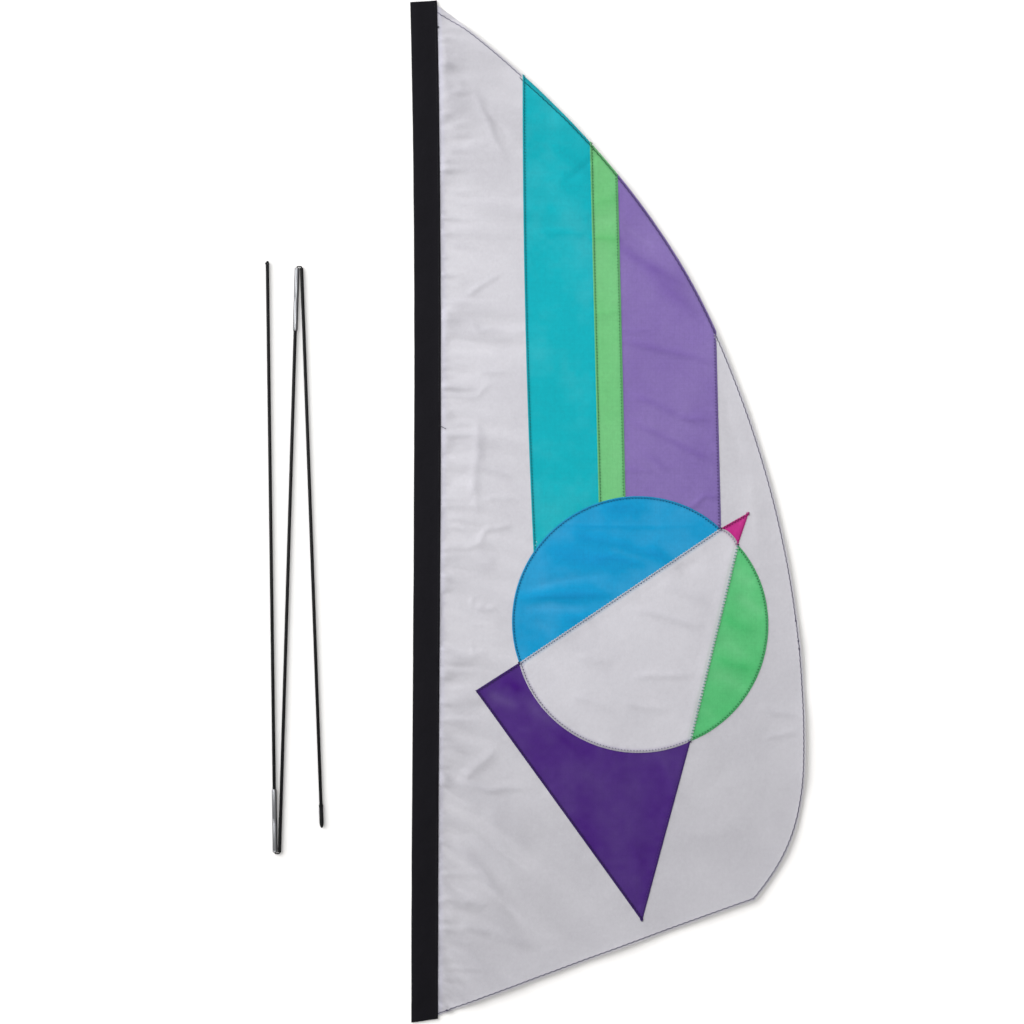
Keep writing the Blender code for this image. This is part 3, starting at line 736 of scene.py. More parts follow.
def new_mesh(name, points_mm, faces, finish, smooth=True):
    """A mesh object from points in millimetres, in the part's own frame."""
    mesh = bpy.data.meshes.new(name)
    mesh.from_pydata((np.asarray(points_mm) * MM).tolist(), [], faces)
    mesh.materials.append(finish)
    if smooth:
        mesh.shade_smooth()
    mesh.update()
    piece = bpy.data.objects.new(name, mesh)
    bpy.context.scene.collection.objects.link(piece)
    return piece


def thickened(piece, thickness):
    """Gives a sheet its thickness for good, with crisp cut edges."""
    thick = piece.modifiers.new("thickness", "SOLIDIFY")
    thick.thickness = thickness
    thick.offset = -1.0
    solid = piece.evaluated_get(bpy.context.evaluated_depsgraph_get())
    mesh = bpy.data.meshes.new_from_object(solid)
    piece.modifiers.clear()
    flat, piece.data = piece.data, mesh
    bpy.data.meshes.remove(flat)
    mesh.name = piece.name
    mesh.set_sharp_from_angle(angle=math.radians(50))


def shade_points(piece, colours):
    """Keeps a colour factor at each point of the mesh, for its material to read."""
    layer = piece.data.attributes.new("shade", "FLOAT_COLOR", "POINT")
    layer.data.foreach_set("color", np.asarray(colours, np.float32).ravel())


def off_edges(edges, wanted, points):
    """Each point's distance from the edges sewn in one way, or None where there are none."""
    lines = [respaced(line, 0.8) for line, way in edges if way == wanted]
    if not lines:
        return None
    return nearest(tree_of(np.concatenate(lines)), points)[1]


def sewn_panel(name, slot, colour, finish, step=2.6, show_through=()):
    """One panel of the flag, with its laps and margins, lying as the cloth lies."""
    edges = PANELS[name]
    outline = grown_outline(edges)
    flat_points, faces = filled(outline, step)
    used = np.unique(np.concatenate([np.array(f) for f in faces]))
    order = np.full(len(flat_points), -1)
    order[used] = np.arange(len(used))
    flat_points, faces = flat_points[used], [tuple(order[i] for i in f) for f in faces]
    z = how_it_lies(flat_points)
    shade = np.ones((len(flat_points), 4))
    # Painted shade and highlight along the creases; on white cloth they are stronger and the gathers'
    # folds get painted shade too
    tone = paler_by(flat_points)
    if slot == "white_cloth":
        tone = WHITE_PAINTED_CREASE_SCALE * tone - WHITE_GATHER_PAINTED_SHADE * gathers(flat_points)
    paler = tone[:, None] * PAINTED_LIGHT_SHARE / np.array(colour)
    shade[:, :3] *= np.maximum(DARKEST, 1 + paler)
    off = off_edges(edges, "over", flat_points)
    if off is not None:
        near = 1 - eased(off, LAP + 0.2, LAP + 8.0)
        z += LAYER * RANK[name] * near
        shade[:, :3] *= (1 - LAP_SHADE * (1 - eased(off, LAP - 1.0, LAP + 0.4)))[:, None]
    off = off_edges(edges, "free", flat_points)
    if off is not None:
        z += hem_rise(off)
        hem = HEM_SHADE if slot != "white_cloth" else WHITE_HEM_SHADE
        shade[:, :3] *= (1 + (hem - 1) * (1 - eased(off, 3.2, 4.0)))[:, None]
    if name == "white_centre":
        shade[:, :3] *= CENTRE_SHADE
    if name == "white_ground":
        off = flat_points[:, 0] - sleeve_side(flat_points[:, 1])
        strip = 1 - eased(off, 3.6, 4.8)
        shade[:, :3] *= 1 + strip[:, None] * np.array(STRIP_SHADE)
    for line, below in show_through:
        _, off = nearest(tree_of(respaced(line, 0.8)), flat_points)
        strip = 1 - eased(off, LAP - 0.8, LAP + 0.6)
        shade[:, :3] *= 1 - strip[:, None] * (1 - np.array(below))
    piece = new_mesh(name, np.column_stack([flat_points, z]), faces, finish)
    piece.name = name + "_cloth"
    shade_points(piece, shade)
    thickened(piece, bpy.context.scene.flag_cloth.thickness)
    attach(piece, "flag")
    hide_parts(name)


# ------------------------------------------------------------------ finishes


def add(tree, kind, inputs=None, **settings):
    """A node with its settings made and its inputs set or linked."""
    node = tree.nodes.new(kind)
    for key, value in settings.items():
        setattr(node, key, value)
    for key, value in (inputs or {}).items():
        if isinstance(value, bpy.types.NodeSocket):
            tree.links.new(value, node.inputs[key])
        else:
            node.inputs[key].default_value = value
    return node


def calc(tree, operation, *values):
    return add(tree, "ShaderNodeMath", dict(enumerate(values)), operation=operation).outputs[0]


def plain_finish(name, roughness, metallic=0.0, **sockets):
    """A new material, its node tree and its shader, with the shader's own numbers set."""
    material = bpy.data.materials.new(name)
    material.use_nodes = True
    shader = material.node_tree.nodes["Principled BSDF"]
    shader.inputs["Roughness"].default_value = roughness
    shader.inputs["Metallic"].default_value = metallic
    for key, value in sockets.items():
        shader.inputs[key.replace("_", " ")].default_value = value
    return material, material.node_tree, shader


def mottle(tree, scale, detail=3.0, stretch=(1.0, 1.0, 1.0)):
    """Cloudy noise in the piece's own coordinates, 0 to 1. Scale is in swells per metre."""
    places = add(tree, "ShaderNodeTexCoord").outputs["Object"]
    placed = add(tree, "ShaderNodeMapping", {"Vector": places, "Scale": stretch}).outputs[0]
    wanted = {"Vector": placed, "Scale": scale, "Detail": detail, "Roughness": 0.55}
    return add(tree, "ShaderNodeTexNoise", wanted).outputs["Fac"]


def thread_lines(tree, coordinate, pitch, half):
    """1 on lines a pitch apart and 0 between them."""
    off = calc(tree, "PINGPONG", coordinate, pitch / 2)
    wanted = {"Value": off, "From Min": half * 0.5, "From Max": half * 1.6}
    wanted.update({"To Min": 1.0, "To Max": 0.0})
    return add(tree, "ShaderNodeMapRange", wanted, interpolation_type="SMOOTHSTEP").outputs[0]


def axes(tree):
    places = add(tree, "ShaderNodeTexCoord").outputs["Object"]
    return add(tree, "ShaderNodeSeparateXYZ", {0: places}).outputs


def weave(tree, pitch):
    """Height of a plain weave, -1 to 1."""
    x, y, _ = axes(tree)
    turns = math.tau / pitch
    across = calc(tree, "SINE", calc(tree, "MULTIPLY", x, turns))
    along = calc(tree, "SINE", calc(tree, "MULTIPLY", y, turns))
    return calc(tree, "MULTIPLY", across, along)


def scaled(tree, colour, factor):
    """A colour or vector output times a number output."""
    wanted = {0: colour, "Scale": factor}
    return add(tree, "ShaderNodeVectorMath", wanted, operation="SCALE").outputs[0]


def times(tree, first, *others):
    """The product of outputs and numbers."""
    for value in others:
        first = calc(tree, "MULTIPLY", first, value)
    return first


def dye(tree, colour):
    """One even colour as an output."""
    dyed = add(tree, "ShaderNodeRGB")
    dyed.outputs[0].default_value = (*colour, 1.0)
    return dyed.outputs[0]


def kept_shade(tree):
    """The colour that the mesh keeps at its points; on the cloth it includes painted shade and
    highlight.
    """
    return add(tree, "ShaderNodeAttribute", attribute_name="shade").outputs["Color"]


def coloured(tree, shader, colour, strength):
    """The shader's colour: a colour output times a number output."""
    tree.links.new(scaled(tree, colour, strength), shader.inputs["Base Color"])


def roughened(tree, shader, roughness):
    tree.links.new(roughness, shader.inputs["Roughness"])


def bumped(tree, shader, height_mm, strength):
    """Surface relief from a height in millimetres."""
    wanted = {"Height": height_mm, "Strength": strength, "Distance": MM}
    bump = add(tree, "ShaderNodeBump", wanted)
    tree.links.new(bump.outputs[0], shader.inputs["Normal"])


def ranged(tree, value, low, high):
    """A 0 to 1 output spread from low to high."""
    return calc(tree, "MULTIPLY_ADD", value, high - low, low)


def ripstop_cloth(name, colour, grid=0.04):
    """Light ripstop: a fine weave with heavier threads in squares, faintly mottled."""
    sheen = {"Sheen_Weight": 0.008, "Sheen_Roughness": 0.45, "Specular_IOR_Level": 0.07}
    material, tree, shader = plain_finish(name, 0.62, **sheen)
    cloth = bpy.context.scene.flag_cloth
    x, y, _ = axes(tree)
    squares = calc(
        tree,
        "MAXIMUM",
        thread_lines(tree, x, cloth.ripstop, 0.20 * MM),
        thread_lines(tree, y, cloth.ripstop, 0.20 * MM),
    )
    clouds, grain = mottle(tree, 22.0), mottle(tree, 260.0, 4.0)
    slubs = mottle(tree, 620.0, 2.0, (1.0, 0.6, 1.0))
    spread = 0.045 + grid
    strength = times(
        tree,
        ranged(tree, clouds, 0.96, 1.04),
        ranged(tree, grain, 1 - spread, 1 + spread),
        ranged(tree, slubs, 1 - spread, 1 + spread),
        ranged(tree, squares, 1.0, 1 - grid),
    )
    # The kept shade carries painted shade and highlight along the creases, besides the own colour of
    # laps, hems and strips
    wanted = {0: dye(tree, colour), 1: kept_shade(tree)}
    shaded = add(tree, "ShaderNodeVectorMath", wanted, operation="MULTIPLY").outputs[0]
    coloured(tree, shader, shaded, strength)
    rough = calc(tree, "ADD", ranged(tree, grain, 0.52, 0.70), times(tree, squares, -0.06))
    roughened(tree, shader, rough)
    height = calc(tree, "MULTIPLY", weave(tree, 0.62 * MM), 0.018)
    height = calc(tree, "MULTIPLY_ADD", squares, grid * 0.5, height)
    height = calc(tree, "MULTIPLY_ADD", mottle(tree, 130.0, 3.0), 0.35, height)
    bumped(tree, shader, height, 0.8)
    return material


def sleeve_cloth():
    """Heavier black woven cloth with a diagonal rib."""
    cloth = bpy.context.scene.flag_cloth
    material, tree, shader = plain_finish(
        "black_sleeve_cloth", 0.78, Sheen_Weight=0.002, Sheen_Roughness=0.5, Specular_IOR_Level=0.06
    )
    x, y, _ = axes(tree)
    slant = calc(tree, "ADD", x, calc(tree, "MULTIPLY", y, 0.8))
    rib = calc(tree, "SINE", calc(tree, "MULTIPLY", slant, math.tau / (1.1 * MM)))
    clouds, grain = mottle(tree, 30.0), mottle(tree, 500.0, 4.0)
    ribbed = calc(tree, "MULTIPLY_ADD", rib, 0.06, 1.0)
    strength = times(tree, ranged(tree, clouds, 0.86, 1.16), ranged(tree, grain, 0.80, 1.22), ribbed)
    coloured(tree, shader, dye(tree, cloth.black), strength)
    roughened(tree, shader, ranged(tree, grain, 0.68, 0.88))
    height = calc(tree, "MULTIPLY", rib, 0.05)
    height = calc(tree, "MULTIPLY_ADD", weave(tree, 0.8 * MM), 0.03, height)
    height = calc(tree, "MULTIPLY_ADD", mottle(tree, 160.0, 3.0), 0.5, height)
    bumped(tree, shader, height, 0.9)
    return material


def sewing_thread():
    """Twisted thread, coloured from the mesh."""
    material, tree, shader = plain_finish(
        "sewing_thread", 0.5, Sheen_Weight=0.01, Sheen_Roughness=0.4, Specular_IOR_Level=0.12
    )
    fleck = mottle(tree, 900.0, 2.0)
    coloured(tree, shader, kept_shade(tree), ranged(tree, fleck, 0.75, 1.25))
    roughened(tree, shader, ranged(tree, fleck, 0.42, 0.62))
    x, y, _ = axes(tree)
    slant = calc(tree, "MULTIPLY", calc(tree, "ADD", x, y), math.tau / (0.35 * MM))
    bumped(tree, shader, times(tree, calc(tree, "SINE", slant), 0.04), 0.8)
    return material


def fibreglass():
    """Black pultruded rod: glossy, with fine streaks along it and dusty patches."""
    pole = bpy.context.scene.flag_pole
    material, tree, shader = plain_finish(
        "black_fibreglass", 0.3, Coat_Weight=0.015, Coat_Roughness=0.2, Specular_IOR_Level=0.06
    )
    streaks = mottle(tree, 900.0, 3.0, (1.0, 0.03, 1.0))
    dust = mottle(tree, 60.0, 4.0)
    strength = times(tree, ranged(tree, streaks, 0.7, 1.5), ranged(tree, dust, 0.8, 1.4))
    coloured(tree, shader, dye(tree, pole.rod), strength)
    rough = calc(tree, "ADD", ranged(tree, streaks, 0.20, 0.34), ranged(tree, dust, -0.04, 0.14))
    roughened(tree, shader, rough)
    bumped(tree, shader, times(tree, streaks, 0.03), 0.6)
    return material


def drawn_metal():
    """Bright drawn tube with fine scratches along it."""
    pole = bpy.context.scene.flag_pole
    tinted = {"Specular_Tint": (0.12, 0.12, 0.14, 1.0)}
    material, tree, shader = plain_finish("drawn_metal", 0.40, 1.0, **tinted)
    scratches = mottle(tree, 1500.0, 3.0, (1.0, 0.02, 1.0))
    smears = mottle(tree, 120.0, 4.0)
    strength = times(tree, ranged(tree, scratches, 0.86, 1.08), ranged(tree, smears, 0.88, 1.06))
    coloured(tree, shader, dye(tree, pole.ferrule), strength)
    rough = calc(tree, "ADD", ranged(tree, scratches, 0.26, 0.36), ranged(tree, smears, -0.03, 0.05))
    roughened(tree, shader, rough)
    bumped(tree, shader, times(tree, scratches, 0.02), 0.7)
    return material


def cap_rubber():
    """Matt black rubber with a slight moulding grain."""
    pole = bpy.context.scene.flag_pole
    material, tree, shader = plain_finish("cap_rubber_finish", 0.55, Specular_IOR_Level=0.08)
    grain = mottle(tree, 1200.0, 3.0)
    coloured(tree, shader, dye(tree, pole.cap), ranged(tree, grain, 0.8, 1.3))
    roughened(tree, shader, ranged(tree, grain, 0.45, 0.65))
    bumped(tree, shader, times(tree, grain, 0.04), 0.7)
    return material


def elastic_cover():
    """Braided black cover of the elastic cord."""
    pole = bpy.context.scene.flag_pole
    material, tree, shader = plain_finish(
        "elastic_cord_finish", 0.8, Sheen_Weight=0.01, Sheen_Roughness=0.5, Specular_IOR_Level=0.06
    )
    x, y, _ = axes(tree)
    turns = math.tau / (0.9 * MM)
    one = calc(tree, "SINE", calc(tree, "MULTIPLY", calc(tree, "ADD", x, y), turns))
    other = calc(tree, "SINE", calc(tree, "MULTIPLY", calc(tree, "SUBTRACT", x, y), turns))
    braid = calc(tree, "MULTIPLY", one, other)
    coloured(tree, shader, dye(tree, pole.cord), calc(tree, "MULTIPLY_ADD", braid, 0.3, 1.0))
    roughened(tree, shader, ranged(tree, mottle(tree, 800.0), 0.7, 0.9))
    bumped(tree, shader, times(tree, braid, 0.06), 0.8)
    return material


def finish_named(name, make):
    """The material of one finish, made once."""
    return bpy.data.materials.get(name) or make()


# ------------------------------------------------------------------ sewing


def tube_mesh(path, radius, sides):
    """Points and faces of a closed-ended tube along a path in mm."""
    path = np.asarray(path, float)
    ahead = np.gradient(path, axis=0)
    ahead /= np.maximum(np.linalg.norm(ahead, axis=1), 1e-9)[:, None]
    side = np.cross(ahead, (0.0, 0.0, 1.0))
    flat = np.linalg.norm(side, axis=1) < 1e-3
    side[flat] = (1.0, 0.0, 0.0)
    side /= np.linalg.norm(side, axis=1)[:, None]
    up = np.cross(side, ahead)
    turn = np.arange(sides) * math.tau / sides
    ring = np.cos(turn)[None, :, None] * side[:, None] + np.sin(turn)[None, :, None] * up[:, None]
    points = (path[:, None] + radius * ring).reshape(-1, 3)
    start = np.arange(len(path) - 1)[:, None] * sides
    k = np.arange(sides)[None]
    after = (k + 1) % sides
    quads = np.stack([start + k, start + after, start + sides + after, start + sides + k], axis=2)
    faces = [tuple(q) for q in quads.reshape(-1, 4).tolist()]
    faces.append(tuple(range(sides))[::-1])
    last = (len(path) - 1) * sides
    faces.append(tuple(range(last, last + sides)))
    return points, faces


def tube_meshes(paths, radius, sides):
    """Points and faces of several tubes, as one mesh."""
    points, faces, base = [], [], 0
    for path in paths:
        ring, quads = tube_mesh(path, radius, sides)
        faces += [tuple(i + base for i in f) for f in quads]
        points.append(ring)
        base += len(ring)
    return np.concatenate(points), faces


def row_of_stitches(line, side, inset, width, pitch, rank, extra, dip):
    """The path of a zigzag thread beside a seam line, lying on the cloth."""
    thread = bpy.context.scene.flag_thread
    line = respaced(line, 0.8)
    along = arc_length(line)
    normal = left_normals(line)
    count = max(2, int(round(along[-1] / (pitch / 2))))
    holes = np.linspace(0, along[-1], count + 1)
    across = inset + np.where(np.arange(count + 1) % 2, 0.5, -0.5) * width
    shares = np.array((0.0, 0.18, 0.5, 0.82))
    at = (holes[:-1, None] + np.diff(holes)[:, None] * shares).ravel()
    off = (across[:-1, None] + np.diff(across)[:, None] * shares).ravel()
    arch = np.tile((-dip, 0.16, 0.24, 0.16), count)
    at, off, arch = np.append(at, holes[-1]), np.append(off, across[-1]), np.append(arch, -dip)
    across_share = (off - inset) / width + 0.5
    off = off + extra[0] * np.exp(-((at / extra[1]) ** 2))
    place = read_along(line, along, at) + read_along(normal, along, at) * (off * side)[:, None]
    _, from_free = nearest(FREE_TREE, place)
    z = how_it_lies(place) + LAYER * rank + arch + thread.thread / MM * STITCH_TOP
    z += np.maximum(0, hem_rise(from_free))
    return np.column_stack([place, z]), across_share


def stitched(name, rows, pitch=None, width=None, inset=None, dip=0.16):
    """One object of thread rows. A row is its line, its side, the layers it stands on, its
    inner and outer colour and, where it starts further in, by how much and for how long."""
    thread = bpy.context.scene.flag_thread
    pitch = pitch or thread.stitch / MM
    width = width or thread.width / MM
    inset = inset or thread.inset / MM
    paths, shade = [], []
    for line, side, rank, inner, outer, *extra in rows:
        path, share = row_of_stitches(line, side, inset, width, pitch, rank, extra or (0, 1), dip)
        paths.append(path)
        share = eased(share, *THREAD_CHANGE)[:, None]
        colour = np.array(outer) * (1 - share) + np.array(inner) * share
        colour = np.column_stack([colour, np.ones(len(share))])
        shade.append(np.repeat(colour, THREAD_SIDES, axis=0))
    points, faces = tube_meshes(paths, thread.thread / MM / 2, THREAD_SIDES)
    piece = new_mesh(name + "_thread", points, faces, finish_named("sewing_thread", sewing_thread))
    shade_points(piece, np.concatenate(shade))
    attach(piece, "flag")
    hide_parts(name)


def little_knot(centre, size, radius, lean=0.0):
    """The path of a small overhand knot, leant over by an angle."""
    t = np.linspace(0.15, math.tau * 0.98, 52)
    a, b = np.sin(t) + 2 * np.sin(2 * t), np.cos(t) - 2 * np.cos(2 * t)
    x, y = a * math.cos(lean) - b * math.sin(lean), a * math.sin(lean) + b * math.cos(lean)
    z = -np.sin(3 * t) * 0.8
    return np.asarray(centre) + np.stack([x, y, z], axis=1) * (size - radius) / 3.0


def loose_thread(name, paths, radius, colour):
    """Loose ends and knots of thread as one piece."""
    points, faces = tube_meshes(paths, radius, 7)
    piece = new_mesh(name, points, faces, finish_named("sewing_thread", sewing_thread))
    shade_points(piece, np.tile((*colour, 1.0), (len(points), 1)))
    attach(piece, "flag")


# ------------------------------------------------------------------ the sleeve


def sleeve_section(along):
    """Across and height of one ring round the sleeve, top from the flag side over to the
    fold and back underneath."""
    cloth = bpy.context.scene.flag_cloth
    u = np.cos(np.linspace(0, math.pi, 25))
    hollow = (1 - np.abs(u) ** 2.6) ** (1 / 2.2)
    y = SLEEVE_FOOT + (SLEEVE_HEAD - SLEEVE_FOOT) * along
    pinch = eased(SLEEVE_HEAD - y, 0.0, 14.0)
    sway = waves(np.array([y / 70]), np.array([0.5]), 21)[0]
    puff = SLEEVE_PUFF * (0.35 + 0.65 * pinch) * (1 + 0.12 * sway)
    rim = 0.30
    right = eased(u, 0.35, 0.98)
    low = (cloth.lie / MM + 0.25) * right + 0.45 * (1 - right)
    top = low + 2 * rim + puff * hollow * (1 - 0.55 * right)
    wrinkle = 0.16 * waves(u * 1.6, np.full(len(u), y / 9.0), 22)
    wrinkle += 0.22 * waves(u * 0.9, np.full(len(u), y / 27.0), 23)
    top = top + wrinkle * hollow
    across = np.concatenate([u, u[::-1]]) * SLEEVE_HALF
    z = np.concatenate([top, low[::-1] + 0.02])
    turn = len(u)
    z[0], z[turn - 1] = low[0] + rim * 1.4, low[-1] + rim * 1.4
    z[turn], z[-1] = low[-1] + rim * 0.6, low[0] + rim * 0.6
    return across, z


def sleeve_tube(rings=420):
    """The black sleeve: a flat tube, stitched shut at the head and open at the foot."""
    points, faces = [], []
    for k in range(rings + 1):
        along = k / rings
        across, z = sleeve_section(along)
        slant = FOOT_SLANT * (1 - along) ** 8 + HEAD_SLANT * along**8
        y = SLEEVE_FOOT + (SLEEVE_HEAD - SLEEVE_FOOT) * along + slant * across
        waver = 0.22 * waves(np.array([y[0] / 33]), np.array([0.2]), 24)[0]
        points.append(np.column_stack([sleeve_middle(along) + across * (1 + waver / 28), y, z]))
    around = len(points[0])
    for k in range(rings):
        for i in range(around):
            a, b = k * around + i, k * around + (i + 1) % around
            faces.append((b, a, a + around, b + around))
    last = rings * around
    half = around // 2
    for i in range(half - 1):
        under = around - 1 - i
        faces.append((last + i, last + i + 1, last + under - 1, last + under))
    finish = finish_named("black_sleeve_cloth", sleeve_cloth)
    piece = new_mesh("pole_sleeve_cloth", np.concatenate(points), faces, finish)
    thickened(piece, SLEEVE_CLOTH * MM)
    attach(piece, "flag")
    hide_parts("pole_sleeve")


# ------------------------------------------------------------------ turned pieces


def section_matrix(pivot, lean, away, side):
    """From a section's own axis, +Y away from its fold, into the part's frame, in mm."""
    place = Matrix.Translation((*pivot, AXIS_HEIGHT)) @ Matrix.Rotation(math.radians(lean), 4, "Z")
    place = place @ Matrix.Translation((side * FOLD_PITCH / 2, 0, 0))
    return np.array(place @ Matrix.Diagonal((1, away, 1, 1)))


UPPER_PIVOT = LOWER_PIVOT + np.array(
    Matrix.Rotation(math.radians(MIDDLE_LEAN), 2) @ Vector((FOLD_PITCH, MIDDLE_LENGTH))
)
UPPER = section_matrix(UPPER_PIVOT, UPPER_LEAN, -1, 1)
MIDDLE = section_matrix(UPPER_PIVOT, MIDDLE_LEAN, -1, -1)
LOWER = section_matrix(LOWER_PIVOT, LOWER_LEAN, 1, -1)


def placed(points, matrix):
    return np.asarray(points) @ matrix[:3, :3].T + matrix[:3, 3]


def rounded(profile, radius=0.12, steps=3):
    """The same closed profile with its sharp corners taken off."""
    points = []
    count = len(profile)
    for i in range(count):
        a, b, c = (np.array(profile[(i + k) % count], float) for k in (-1, 0, 1))
        back, on = a - b, c - b
        reach = min(radius, np.linalg.norm(back) / 2.2, np.linalg.norm(on) / 2.2)
        back, on = back / np.linalg.norm(back), on / np.linalg.norm(on)
        if b[1] == 0 or back @ on < -0.985:
            points.append(tuple(b))
            continue
        start, end = b + back * reach, b + on * reach
        for k in range(steps + 1):
            t = k / steps
            points.append(tuple((1 - t) ** 2 * start + 2 * t * (1 - t) * b + t * t * end))
    return points


def turned_piece(name, node, profile, matrix, finish, body):
    """A turned piece from a closed profile of (distance from the fold, radius)."""
    points, faces, rings = [], [], []
    for distance, radius in profile:
        start = len(points)
        if radius == 0:
            points.append((0, distance, 0))
            rings.append([start])
            continue
        for i in range(ROUND):
            turn = math.tau * i / ROUND
            points.append((radius * math.cos(turn), distance, radius * math.sin(turn)))
        rings.append(list(range(start, start + ROUND)))
    on_axis = len(rings[0]) == 1
    pairs = zip(rings, rings[1:] if on_axis else rings[1:] + rings[:1])
    flip = np.linalg.det(matrix[:3, :3]) < 0
    for a, b in pairs:
        for i in range(ROUND):
            j = (i + 1) % ROUND
            if len(a) == 1:
                face = (a[0], b[j], b[i])
            elif len(b) == 1:
                face = (a[i], a[j], b[0])
            else:
                face = (a[i], a[j], b[j], b[i])
            faces.append(face[::-1] if flip else face)
    piece = new_mesh(name, placed(points, matrix), faces, finish)
    piece.data.set_sharp_from_angle(angle=math.radians(48))
    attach(piece, body)
    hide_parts(node)


def tube_wall(start, end, outer, bore):
    return rounded([(start, bore), (start, outer), (end, outer), (end, bore)])


def ferrule_wall(mouth):
    """A drawn metal sleeve: rolled mouth, crimped waist and a tapered end on its rod."""
    crimp, far = mouth + FERRULE_SOCKET, mouth + FERRULE_LENGTH
    outer = FERRULE_RADIUS
    profile = [
        (mouth, FERRULE_BORE),
        (mouth + 0.1, outer - 0.32),
        (mouth + 0.35, outer),
        (mouth + 1.6, outer),
        (mouth + 1.9, outer - 0.10),
        (mouth + 2.2, outer - 0.04),
    ]
    for middle, depth in ((crimp - 1.6, 0.14), (crimp, 0.22), (crimp + 1.6, 0.14)):
        profile += [
            (middle - 0.6, outer - 0.03),
            (middle - 0.2, outer - depth),
            (middle + 0.2, outer - depth),
            (middle + 0.6, outer - 0.03),
        ]
    profile += [(far - 1.4, outer - 0.02), (far - 0.3, outer - 0.25), (far, FERRULE_BORE + 0.12)]
    profile.append((far, FERRULE_BORE))
    return profile


def cap_wall(tip):
    """A blind rubber cap: its lip, two shallow grip rings and a bullet nose."""
    mouth, nose, floor = tip - CAP_LENGTH, CAP_SOLID - 0.4, tip - CAP_SOLID
    profile = [(floor, 0), (floor, FERRULE_BORE), (mouth, FERRULE_BORE)]
    profile += [(mouth + 0.05, CAP_LIP - 0.15), (mouth + 0.2, CAP_LIP)]
    profile += [(mouth + 1.3, CAP_LIP), (mouth + 1.6, CAP_RADIUS)]
    for ring in (4.0, 6.0):
        profile += [
            (mouth + ring - 0.4, CAP_RADIUS),
            (mouth + ring - 0.15, CAP_RADIUS - 0.1),
            (mouth + ring + 0.15, CAP_RADIUS - 0.1),
            (mouth + ring + 0.4, CAP_RADIUS),
        ]
    for i in range(12):
        turn = math.pi / 2 * i / 12
        profile.append((tip - nose + nose * math.sin(turn), CAP_RADIUS * math.cos(turn)))
    return [*profile, (tip, 0)]


def cord_piece(name, node, path, matrix, body, radius=CORD_RADIUS):
    """A length of the elastic cord along a path, as one tube."""
    points, faces = tube_mesh(path, radius, 12)
    points = placed(points, matrix)
    if np.linalg.det(matrix[:3, :3]) < 0:
        faces = [f[::-1] for f in faces]
    piece = new_mesh(name, points, faces, finish_named("elastic_cord_finish", elastic_cover))
    if body:
        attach(piece, body)
    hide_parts(node)
    return piece


def inner_cord(name, node, start, end, matrix, body, joint):
    """The cord inside a rod, with a slight sway. Where a joint is named, it gets its own copy of the
    mesh.
    """
    steps = np.linspace(start, end, 40)
    sway = 0.06 * np.sin(steps / 23)
    path = np.column_stack([sway, steps, np.zeros(len(steps))])
    piece = cord_piece(name, node, path, matrix, body)
    if joint:
        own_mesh(piece)


def bend_piece(name, node, pivot, first_lean, last_lean, way, bodies):
    """The bare cord over a fold, from one bore round the pivot into the next."""
    radius = FOLD_PITCH / 2
    right, left = math.radians(first_lean), math.radians(last_lean) + way * math.pi

    def spot(turn, along):
        out = np.array((math.cos(turn), math.sin(turn)))
        place = out * radius + np.array((-out[1], out[0])) * along
        rise = place @ outward
        if rise > 0:
            place = place + outward * (BEND_RISE * math.tanh(rise / BEND_RISE) - rise)
        return (*(pivot + place), AXIS_HEIGHT)

    middle = (right + left) / 2
    outward = np.array((math.cos(middle), math.sin(middle)))
    path = [spot(right, -way * CORD_INTO_BORE * k / 5) for k in (5, 4, 3, 2, 1)]
    path += [spot(right + (left - right) * k / 24, 0) for k in range(25)]
    path += [spot(left, way * CORD_INTO_BORE * k / 5) for k in (1, 2, 3, 4, 5)]
    piece = cord_piece(name, node, path, np.eye(4), None)
    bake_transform(piece)


# ------------------------------------------------------------------ the steps of the build


def aim(light, target):
    """Turns a light towards a place and puts it in the scene."""
    light.rotation_mode = "QUATERNION"
    light.rotation_quaternion = (light.location - Vector(target)).to_track_quat("Z", "Y")
    bpy.context.scene.collection.objects.link(light)


# The floor's paleness at the middle, its change per metre to the right and to the back, its
# rise per square metre outwards, and the most that it may be
FLOOR_MIDDLE = 0.697
FLOOR_SLOPE = (0.188, -0.142)
FLOOR_BOWL = 0.29
FLOOR_PALEST = 0.92


def even_floor(tree):
    """The floor's paleness: a little deeper where more light falls, so that it looks even."""
    x, y, _ = axes(tree)
    tone = calc(tree, "MULTIPLY_ADD", x, FLOOR_SLOPE[0], FLOOR_MIDDLE)
    tone = calc(tree, "MULTIPLY_ADD", y, FLOOR_SLOPE[1], tone)
    for side in (x, y):
        tone = calc(tree, "MULTIPLY_ADD", times(tree, side, side), FLOOR_BOWL, tone)
    tone = calc(tree, "MINIMUM", tone, FLOOR_PALEST)
    return times(tree, tone, ranged(tree, mottle(tree, 3.0, 2.0), 0.995, 1.005))


FLOOR_HALF = 20000.0  # half the floor's width, in mm
HORIZON_SHARE, ZENITH_SHARE = 0.55, 1.12  # the even light, low down and high up
KEY_PLACE, KEY_SIZE = (-3.6, 2.3, 2.3), 6.4
POOL_PLACE, POOL_FOOT = (-0.08, 0.16, 3.4), (-0.08, 0.16, 0.0)
POOL_SPREAD = math.radians(21.5)


